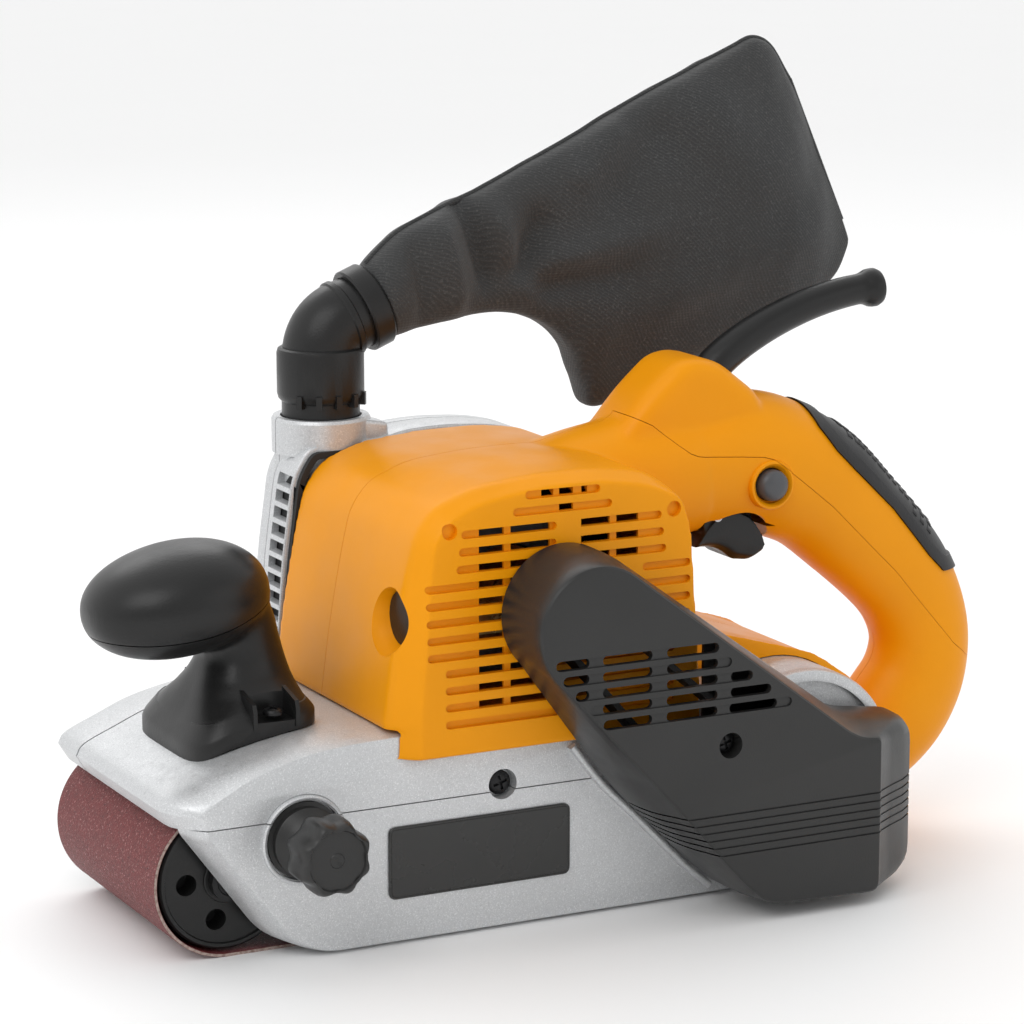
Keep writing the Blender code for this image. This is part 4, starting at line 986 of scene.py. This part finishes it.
def make_grip():
    def oval(x0, x1, half, z, bend=2.6):
        points = []
        cx, rx = (x0 + x1) / 2, (x1 - x0) / 2
        for k in range(48):
            a = 2 * math.pi * k / 48
            c, s = math.cos(a), math.sin(a)
            points.append((cx + rx * math.copysign(abs(c) ** (2 / bend), c),
                           GRIP_Y + half * math.copysign(abs(s) ** (2 / bend), s), z))
        return points

    def tilt(points, low):
        """Follow the slope of the deck at the foot."""
        return [(x, y, z + low * (np.interp(x, [-116, -104, -82, -64], [69.9, 75.6, 79.8, 81.2])
                                  - 81.2)) for x, y, z in points]
    foot = loft("foot", [tilt(oval(-114.5, -66.0, 32, 82.2, 4.5), 1.0),
                         tilt(oval(-114.5, -66.0, 32, 86.6, 4.5), 0.95),
                         tilt(oval(-112, -66.6, 29.5, 89.8, 4.0), 0.7),
                         tilt(oval(-107, -67.4, 23.0, 93.2, 3.4), 0.35),
                         oval(-103.5, -68.2, 19.0, 97.0, 2.8), oval(-101, -69.4, 16.4, 103, 2.4),
                         oval(-100, -71.0, 15.8, 110, 2.2), oval(-100, -72.8, 16.4, 117, 2.2),
                         oval(-100, -75.4, 17.5, 124, 2.2), oval(-101, -80.5, 17, 131, 2.2)])
    head_sections = []
    for k in range(33):
        a = math.pi * k / 32
        u, w = -math.cos(a), math.sin(a) ** 0.86
        ring = []
        for q in range(48):
            b = 2 * math.pi * q / 48
            c, h = math.cos(b), math.sin(b)
            lift = (21.6 if h > 0 else 19.5 - 1.5 * u) * (1 + 0.06 * u)
            spot = Vector((u * 35.2, w * 29 * math.copysign(abs(c) ** 0.92, c),
                           w * lift * math.copysign(abs(h) ** 0.92, h)))
            spot = Matrix.Rotation(math.radians(-7), 3, "Y") @ spot
            ring.append(tuple(spot + Vector((-110.4, GRIP_Y, 125.4))))
        head_sections.append(ring)
    head = loft("head", head_sections)
    grip = merged("grip", foot, head)
    moulded(grip, 1.1, 8)
    soften_where(grip, lambda x, y, z: 1.3 * max(0.0, 1 - abs(z - 108) / 12), 26)

    unite(grip, loft("lip", [tilt(oval(-116.0, -65.0, 33.4, 81.8, 5), 1.0),
                             tilt(oval(-116.0, -65.0, 33.4, 86.4, 5), 0.95),
                             tilt(oval(-115.2, -65.4, 32.8, 87.4, 5), 0.9),
                             tilt(oval(-111.6, -67.0, 29.6, 89.9, 4.6), 0.7)]))
    near = copy_of(grip, "front_grip_body")
    cap = copy_of(grip, "front_grip_head")
    bpy.data.objects.remove(grip)
    seam = flow([(-170, 115.0), (-143, 115.2), (-126, 115.2), (-106, 117.2), (-90, 121.4),
                 (-70, 128.5), (-50, 135)], 5)
    cut(near, slab("over", [(x, z - 0.22) for x, z in seam] + [(-50, 190), (-170, 190)], -80, 60))
    cut(cap, slab("under", [(x, z + 0.22) for x, z in seam] + [(-50, 60), (-170, 60)], -80, 60))
    for y, side in ((GRIP_Y - 29, -1), (GRIP_Y + 29, 1)):
        low, high = sorted((y + side * 12, y - side * 6.5))
        cut(near, box("pocket", (-92.5, -77.5), (low, high), (84.6, 110)))
        for x in (-93.4, -76.6):
            profile = [(y - side * 8.5, 82), (y + side * 4.6, 82), (y + side * 4.6, 88.5),
                       (y + side * 3.4, 91.5), (y - side * 8.5, 94.5)]
            rib = slab("rib", profile, x - 0.8, x + 0.8, "X")
            unite(near, rib)
        screw("grip_screw_%s_head" % ("near" if side < 0 else "far"), (-84.5, y, 88.6), "Z", 3.9,
              "machine", replaced=("grip_screw_near" if side < 0 else "grip_screw_far",))
    done(near, "machine", "black_plastic", "front_grip", angle=32)
    done(cap, "machine", "black_plastic", "front_grip_cap", angle=32)


# ------------------------------------------------------------ dust outlet

def make_outlet():
    collar = hoop("dust_collar_body", [
        (13, 163), (15.3, 163), (15.3, 182.6), (16.6, 184.0), (17.1, 186), (17.1, 201.6),
        (16.6, 203.2), (15.6, 203.8), (13, 203.8)], SPOUT, "Z", 96)
    for k in range(5):
        tab = box("tab", (-1.2, 1.2), (-18.0, -15.0), (181.4, 186.5))
        tab.data.transform(Matrix.Rotation(math.radians(-52 + 26 * k), 4, "Z"))
        tab.data.transform(Matrix.Translation(Vector(SPOUT) * MM))
        unite(collar, tab)
    done(collar, "dust_outlet", "black_plastic", "dust_collar", angle=30)

    lean = math.radians(22)
    aim = (math.cos(lean), math.sin(lean))
    corner = Vector((SPOUT_X, SPOUT_Y, 210))
    way = Vector((aim[0], 0, aim[1]))
    bend, turn = 14.5, math.radians(68)
    reach = bend * math.tan(turn / 2)
    cx, cz = SPOUT_X + bend, 210 - reach
    path = [(SPOUT_X, SPOUT_Y, z) for z in (198, 199.5, cz - 0.3)]
    for k in range(15):
        a = math.pi - turn * k / 14
        path.append((cx + bend * math.cos(a), SPOUT_Y, cz + bend * math.sin(a)))
    end = path[-1]
    for d in (2.5, 5, 8, 11, 18):
        path.append((end[0] + aim[0] * d, SPOUT_Y, end[2] + aim[1] * d))
    radii = [15.2] * 3 + [15.0] * 15 + [14.9, 14.7, 14.6, 14.6, 14.6]
    elbow = sweep("dust_elbow_pipe", path, radii, 64)
    inner = sweep("bore", path[:1] + path[1:-1] + [(end[0] + aim[0] * 22, SPOUT_Y,
                                                   end[2] + aim[1] * 22)], 12.0, 48)
    cut(elbow, inner)
    line = [corner + way * d for d in (8.8, 9.4, 11.4, 12)]
    ridge = sweep("ridge", line, [15.0, 15.7, 15.7, 15.0], 64)
    cut(ridge, sweep("bore", [line[0] - way * 3, line[-1] + way * 3], 14.2, 48))
    elbow = merged("dust_elbow_pipe", elbow, ridge)
    done(elbow, "dust_outlet", "black_plastic", "dust_elbow", angle=30)

    ring = hoop("bag_ring", [(14.8, 16.3), (16.3, 16.3), (16.9, 17.0), (16.9, 24.2),
                             (16.3, 24.9), (14.8, 24.9)], (0, 0, 0), "Z", 72)
    ring.data.transform(Matrix.Translation(corner * MM)
                        @ way.to_track_quat("Z", "Y").to_matrix().to_4x4())
    done(ring, "dust_outlet", "black_plastic", "bag_clamp_ring", angle=30)


BAG = [  # lower x and z, upper x and z, half thickness
    (5.0, 205.5, -6.5, 233.5, 15.6), (9.5, 206.8, -1.5, 238.5, 16.0),
    (17, 209, 8.5, 246.8, 15.4), (31, 211.6, 24, 253.8, 14.2), (46, 212.8, 40, 260.2, 13.2),
    (60, 212, 56.5, 267.2, 13.0), (73, 206.5, 73.5, 275.2, 14.0), (82, 197, 88, 282, 15.0),
    (87, 183, 100, 288, 15.8), (93, 171.5, 112, 293.4, 16.4), (113, 177.5, 125, 299, 17.0),
    (139, 187.5, 138, 304.4, 17.0), (164, 197.5, 150, 309.4, 16.6),
    (186, 205.5, 160, 313.6, 15.4), (201, 211, 168.6, 317, 12.0), (210.5, 218.5, 177, 313.4, 6.5),
    (215.6, 228, 184.5, 302.5, 2.4), (216.4, 232, 187, 298.5, 1.3)]


def make_bag():
    rows = [(lx + 3.4, lz - 0.6, ux + 3.4, uz - 0.6, t) for lx, lz, ux, uz, t in flow(BAG, 9)]
    sides = 88
    sections = []
    for k, (lx, lz, ux, uz, t) in enumerate(rows):
        open_share = max(0.0, 1 - k / 26.0)
        ring = []
        for i in range(sides):
            a = 2 * math.pi * i / sides
            c, s = math.cos(a), math.sin(a)
            c2 = math.copysign(abs(c) ** (open_share + (1 - open_share) * 0.92), c)
            s2 = math.copysign(abs(s) ** (open_share + (1 - open_share) * 0.62), s)
            mid = (1 + c2) / 2
            ring.append((lx + (ux - lx) * mid, SPOUT_Y + t * s2, lz + (uz - lz) * mid))
        sections.append(ring)
    bag = loft("dust_bag_cloth", sections)
    folds = [  # start, end, width and depth of each fold
        ((36, 262), (46, 224), 5.0, -4.2), ((25, 252), (33, 216), 4.5, 2.4),
        ((58, 226), (72, 252), 7.0, -3.6), ((48, 256), (64, 218), 5.0, 2.2),
        ((72, 232), (124, 243), 5.0, 2.4), ((70, 222), (110, 226), 6.0, -2.4),
        ((84, 262), (104, 288), 8.0, 2.2), ((98, 252), (126, 284), 8.0, -1.6),
        ((14, 244), (18, 214), 3.5, -1.6), ((140, 300), (178, 250), 14.0, 1.5),
        ((100, 190), (170, 214), 10.0, -1.8), ((120, 206), (200, 240), 12.0, 1.3)]
    mesh = bag.data
    bm = bmesh.new()
    bm.from_mesh(mesh)
    bm.normal_update()
    moves = []
    for v in bm.verts:
        x, y, z = (c * 1000 for c in v.co)
        p = Vector((x, z))
        face = min(1.0, abs(y - SPOUT_Y) / 6.0)
        shift = 0.0
        for a, b, width, depth in folds:
            a2, b2 = Vector(a), Vector(b)
            way = b2 - a2
            t = (p - a2).dot(way) / way.length_squared
            off = (p - a2 - way * t).length
            ends = math.exp(-max(0.0, abs(t - 0.5) - 0.32) ** 2 / 0.05)
            flip = 1.0 if y < SPOUT_Y else -0.6
            shift += 1.9 * depth * flip * ends * math.exp(-(off / width) ** 2)
        soft = noise.noise(Vector((x / 26, y / 40, z / 26))) * 1.6
        soft += noise.noise(Vector((x / 9, y / 20 + 5, z / 9))) * 0.45
        near_neck = max(0.0, 1 - x / 10) if x < 10 else 0.0
        sideways = Vector((0, -1 if y < SPOUT_Y else 1, 0)) * shift * face
        moves.append((sideways + v.normal * soft * (0.4 + 0.6 * face)) * (1 - near_neck) * MM)
    for v, move in zip(bm.verts, moves):
        v.co += move
    bm.to_mesh(mesh)
    bm.free()
    mod = bag.modifiers.new("soften", "SMOOTH")
    mod.factor, mod.iterations = 0.5, 2
    baked(bag)
    top = [bag.data.vertices[k * sides].co * 1000 for k in range(4, len(rows))]
    foot = bag.data.vertices[(len(rows) - 1) * sides + sides // 2].co * 1000
    mod = bag.modifiers.new("fine", "SUBSURF")
    mod.levels = mod.render_levels = 1
    baked(bag)
    done(bag, "dust_outlet", "bag_fabric", "dust_bag", angle=70)

    line = [tuple(v) for v in top[:-1:3] + [top[-1].lerp(foot, k / 8) for k in range(8)]]
    seam = sweep("dust_bag_seam", flow(line, 4), 1.15, 10, 0.9)
    done(seam, "dust_outlet", "bag_fabric", angle=60)


# ------------------------------------------------------------ knob, belt, rollers, controls

def make_knob():
    def flutes(a, r, h):
        if r < 11.9 or h < 78.6:
            return 1.0
        return 1.0 - 0.12 * abs(math.cos(4 * a)) ** 1.8
    profile = [(0, 79.6), (11.0, 79.6), (12.6, 80.0), (13.8, 81.2), (14.5, 83.4), (14.6, 87),
               (14.5, 91.6), (13.9, 94.6), (13.0, 96.4), (12.1, 97.0), (11.4, 97.0), (11.0, 96.5),
               (10.8, 95.9), (2.9, 95.7), (2.5, 96.1), (1.8, 96.0), (1.2, 95.6), (0, 95.5)]
    knob = turned("tracking_knob_grip", profile, KNOB, "Y", 160, flutes)
    ridges = [(12.4 + (0.7 if k % 2 else -0.5), 70.4 + k * 1.0) for k in range(9)]
    stem = turned("tracking_knob_stem", [(0, 66), (14.3, 66), (14.3, 66.9), (12.7, 67.2),
                                         (12.6, 69.6)] + ridges + [(10.6, 80), (0, 80)],
                  KNOB, "Y", 72)
    knob = merged("tracking_knob_grip", knob, stem)
    done(knob, "tracking_knob", "black_plastic", "tracking_knob", mat=SATIN, angle=38)


def belt_line(r, steps=72):
    top = [(X_REAR + (X_FRONT - X_REAR) * k / 40, Z_AXLE + r) for k in range(1, 40)]
    low = [(X_FRONT + (X_REAR - X_FRONT) * k / 40, Z_AXLE - r) for k in range(1, 40)]
    return (arc(X_REAR, Z_AXLE, r, -90, 90, steps) + top
            + arc(X_FRONT, Z_AXLE, r, 90, 270, steps) + low)


def band(name, rims):
    """Closed loop between four rims, each an outline and its place along Y."""
    count = len(rims[0][0])
    verts, faces = [], []
    for line, y in rims:
        verts += place(line, y, "Y")
    for k in range(4):
        a, b = k * count, ((k + 1) % 4) * count
        for i in range(count):
            j = (i + 1) % count
            faces.append([a + i, a + j, b + j, b + i])
    return add(name, verts, faces)


def make_belt():
    outer, inner = belt_line(ROLLER_R), belt_line(ROLLER_R - 1.2)
    belt = band("abrasive_belt_loop", ((outer, -50), (outer, 50), (inner, 50), (inner, -50)))
    done(belt, "machine", "abrasive_cloth", "abrasive_belt", angle=50)
    outer, inner = belt_line(ROLLER_R - 0.1), belt_line(ROLLER_R - 1.1)
    edges = []
    for y, sign in ((-50.05, -1), (50.05, 1)):
        within = y - sign * 0.3
        edges.append(band("edge", ((outer, y), (inner, y), (inner, within), (outer, within))))
    backing = merged("belt_backing_edge", *edges)
    s = Surface("belt_backing", (0.42, 0.33, 0.29), 0.8)
    s.tint(s.ramp(s.noise(700, 3), 0.4, 0.7), (0.20, 0.12, 0.10))
    s.bump(s.noise(900, 3), 0.0002)
    done(backing, "machine", "abrasive_cloth", mat=s.mat, angle=50)


def make_roller():
    here = (X_FRONT, 0, Z_AXLE)
    r = 27.2
    profile = [(0, -48.9), (8.6, -48.9), (8.9, -48.6), (9.0, -47.9), (24.0, -47.9), (24.4, -48.8),
               (r - 1.6, -48.8), (r - 0.8, -48.0), (r - 0.25, -25), (r, 0), (r - 0.25, 25),
               (r - 0.8, 48.0), (r - 1.6, 48.8), (24.4, 48.8),
               (24.0, 47.9), (9.0, 47.9), (8.9, 48.6), (8.6, 48.9), (0, 48.9)]
    roller = turned("front_roller_body", profile, here, "Y", 96)
    for side in (-1, 1):
        for k in range(5):
            a = math.radians(38 + 72 * k)
            spot = (X_FRONT + 15.6 * math.cos(a), 0, Z_AXLE + 15.6 * math.sin(a))
            low, high = sorted((side * 60, side * 38))
            cut(roller, rod("hole", 4.0, low, high, spot, steps=32))
    cut(roller, rod("bore", 5.2, -60, 60, here))
    done(roller, "front_roller", "black_plastic", "front_roller", angle=30)


def make_controls():
    back = [(104.8, 127.0), (109, 132.6), (113.6, 136.8), (119, 138.4), (124.4, 137.8),
            (129.4, 134.6), (133.4, 129.2), (135.2, 124.8)]
    face = [(103.9, 125.6), (108.5, 125.4), (113.5, 124.6), (118, 122.4), (122, 119.4),
            (125.4, 118.8), (129.8, 118.6), (134.4, 121.6)]
    path = list(zip(flow(back, 6), flow(face, 6)))
    trigger = loft("trigger_paddle", [[(b[0] + (f[0] - b[0]) * t, Y_HANDLE + w * 12.6, b[1]
                                        + (f[1] - b[1]) * t)
                                       for t, w in ((0, -1), (0.55, -1), (0.85, -0.93),
                                                    (1, -0.72), (1, 0.72), (0.85, 0.93),
                                                    (0.55, 1), (0, 1))] for b, f in path])
    lever = slab("lever", [(107.5, 131), (131, 132), (127, 142), (109, 142)], Y_HANDLE - 11.5,
                 Y_HANDLE + 11.5)
    trigger = merged("trigger_paddle", trigger, lever)
    moulded(trigger, 0.6, 4)
    done(trigger, "trigger", "black_plastic", "trigger", angle=32)
    button = turned("lock_button_cap", [(0, 24), (6.2, 24), (6.2, 33.4), (5.9, 34.6), (5.0, 35.6),
                                        (3.0, 36.3), (0, 36.6)], BUTTON, "Y", 64)
    done(button, "lock_button", "grey_button", "lock_button", angle=40)


def make_guard():
    path = [(x, Y_HANDLE, z) for x, z in flow(GUARD_PATH, 6)]
    count = len(path)
    radii = [7.4 - 1.5 * k / (count - 1) for k in range(count)]
    for k in range(count):
        gap = count - 1 - k
        if gap < 6:
            radii[k] += (1.0, 1.75, 1.75, 1.5, 0.7, 0.15)[gap]
    guard = sweep("cord_guard_sleeve", path, radii, 48)
    bore = path[2:] + [(path[-1][0] + 6, Y_HANDLE, path[-1][2] + 0.2)]
    cut(guard, sweep("bore", bore, 4.2, 32))
    done(guard, "machine", "black_plastic", "cord_guard", angle=30)


def make_label():
    line = rounded([(-50.6, 17.9, 3), (24.2, 17.9, 3), (24.2, 45.4, 3), (-50.6, 45.4, 3)], 6)
    plate = loft("plain_label", [place(inset(line, s), Y_SIDE - h, "Y") for s, h in (
        (0, 0.15), (0, 0.75), (0.2, 0.95), (0.7, 0.95), (0.8, 0.8), (1.0, 0.8), (1.1, 0.95))])
    done(plate, "machine", "label_black", "name_plate", angle=20)


make_housing()
make_pad()
make_cover()
make_castings()
make_fan_case()
make_grip()
make_outlet()
make_bag()
make_knob()
make_belt()
make_roller()
make_controls()
make_guard()
make_label()
screw("side_screw_head", (-3.6, -64.6, 56.0), "Y", 4.6, "machine", replaced=("side_screw",))
screw("cover_screw_head", (71, -101.6, 71), "Y", 4.3, "machine", replaced=("cover_screw",))


# ------------------------------------------------------------ stage

def make_stage():
    bpy.ops.mesh.primitive_plane_add(size=12)
    floor = bpy.context.object
    floor.name = "floor"
    s = Surface("floor_white", (0.98, 0.98, 0.98), 0.6)
    s.tint(s.ramp(s.noise(6, 3), 0.4, 0.7, 0.0, 0.3), (0.965, 0.965, 0.965))
    floor.data.materials.append(s.mat)

    world = bpy.data.worlds.new("studio")
    bpy.context.scene.world = world
    world.use_nodes = True
    tree = world.node_tree
    split = tree.nodes.new("ShaderNodeSeparateXYZ")
    fade = tree.nodes.new("ShaderNodeMapRange")
    fade.inputs["From Min"].default_value, fade.inputs["From Max"].default_value = -0.5, 0.15
    fade.inputs["To Min"].default_value, fade.inputs["To Max"].default_value = 0.68, 1.06
    source = tree.nodes.new("ShaderNodeTexCoord")
    tree.links.new(source.outputs["Generated"], split.inputs["Vector"])
    tree.links.new(split.outputs["Y"], fade.inputs["Value"])
    tree.links.new(fade.outputs["Result"], tree.nodes["Background"].inputs["Color"])

    def area(name, place_at, target, size, power):
        light = bpy.data.lights.new(name, "AREA")
        light.shape, light.size, light.size_y, light.energy = "RECTANGLE", size[0], size[1], power
        obj = linked(name, light)
        obj.location = place_at
        way = Vector(target) - Vector(place_at)
        obj.rotation_euler = way.to_track_quat("-Z", "Y").to_euler()
    area("key", (-1.1, -0.9, 1.5), (0, 0, 0.1), (1.4, 1.0), 10)
    area("fill", (1.2, -1.6, 0.8), (0.05, 0, 0.1), (1.2, 1.2), 2)
    area("back", (0.3, 1.5, 1.4), (0, 0, 0.15), (1.6, 0.8), 6)

    camera = bpy.data.cameras.new("camera")
    obj = linked("camera", camera)
    camera.lens, camera.sensor_width, camera.clip_end = 130.21, 36, 30
    yaw, pitch = math.radians(27.004), math.radians(11.73)
    ahead = Vector((math.sin(yaw) * math.cos(pitch), math.cos(yaw) * math.cos(pitch),
                    -math.sin(pitch)))
    right = Vector((math.cos(yaw), -math.sin(yaw), 0))
    up = right.cross(ahead)
    obj.matrix_world = Matrix(((right.x, up.x, -ahead.x, -0.60106),
                               (right.y, up.y, -ahead.y, -1.24660),
                               (right.z, up.z, -ahead.z, 0.43349), (0, 0, 0, 1)))
    bpy.context.scene.camera = obj
    bpy.context.scene.view_settings.view_transform = "Standard"


make_stage()
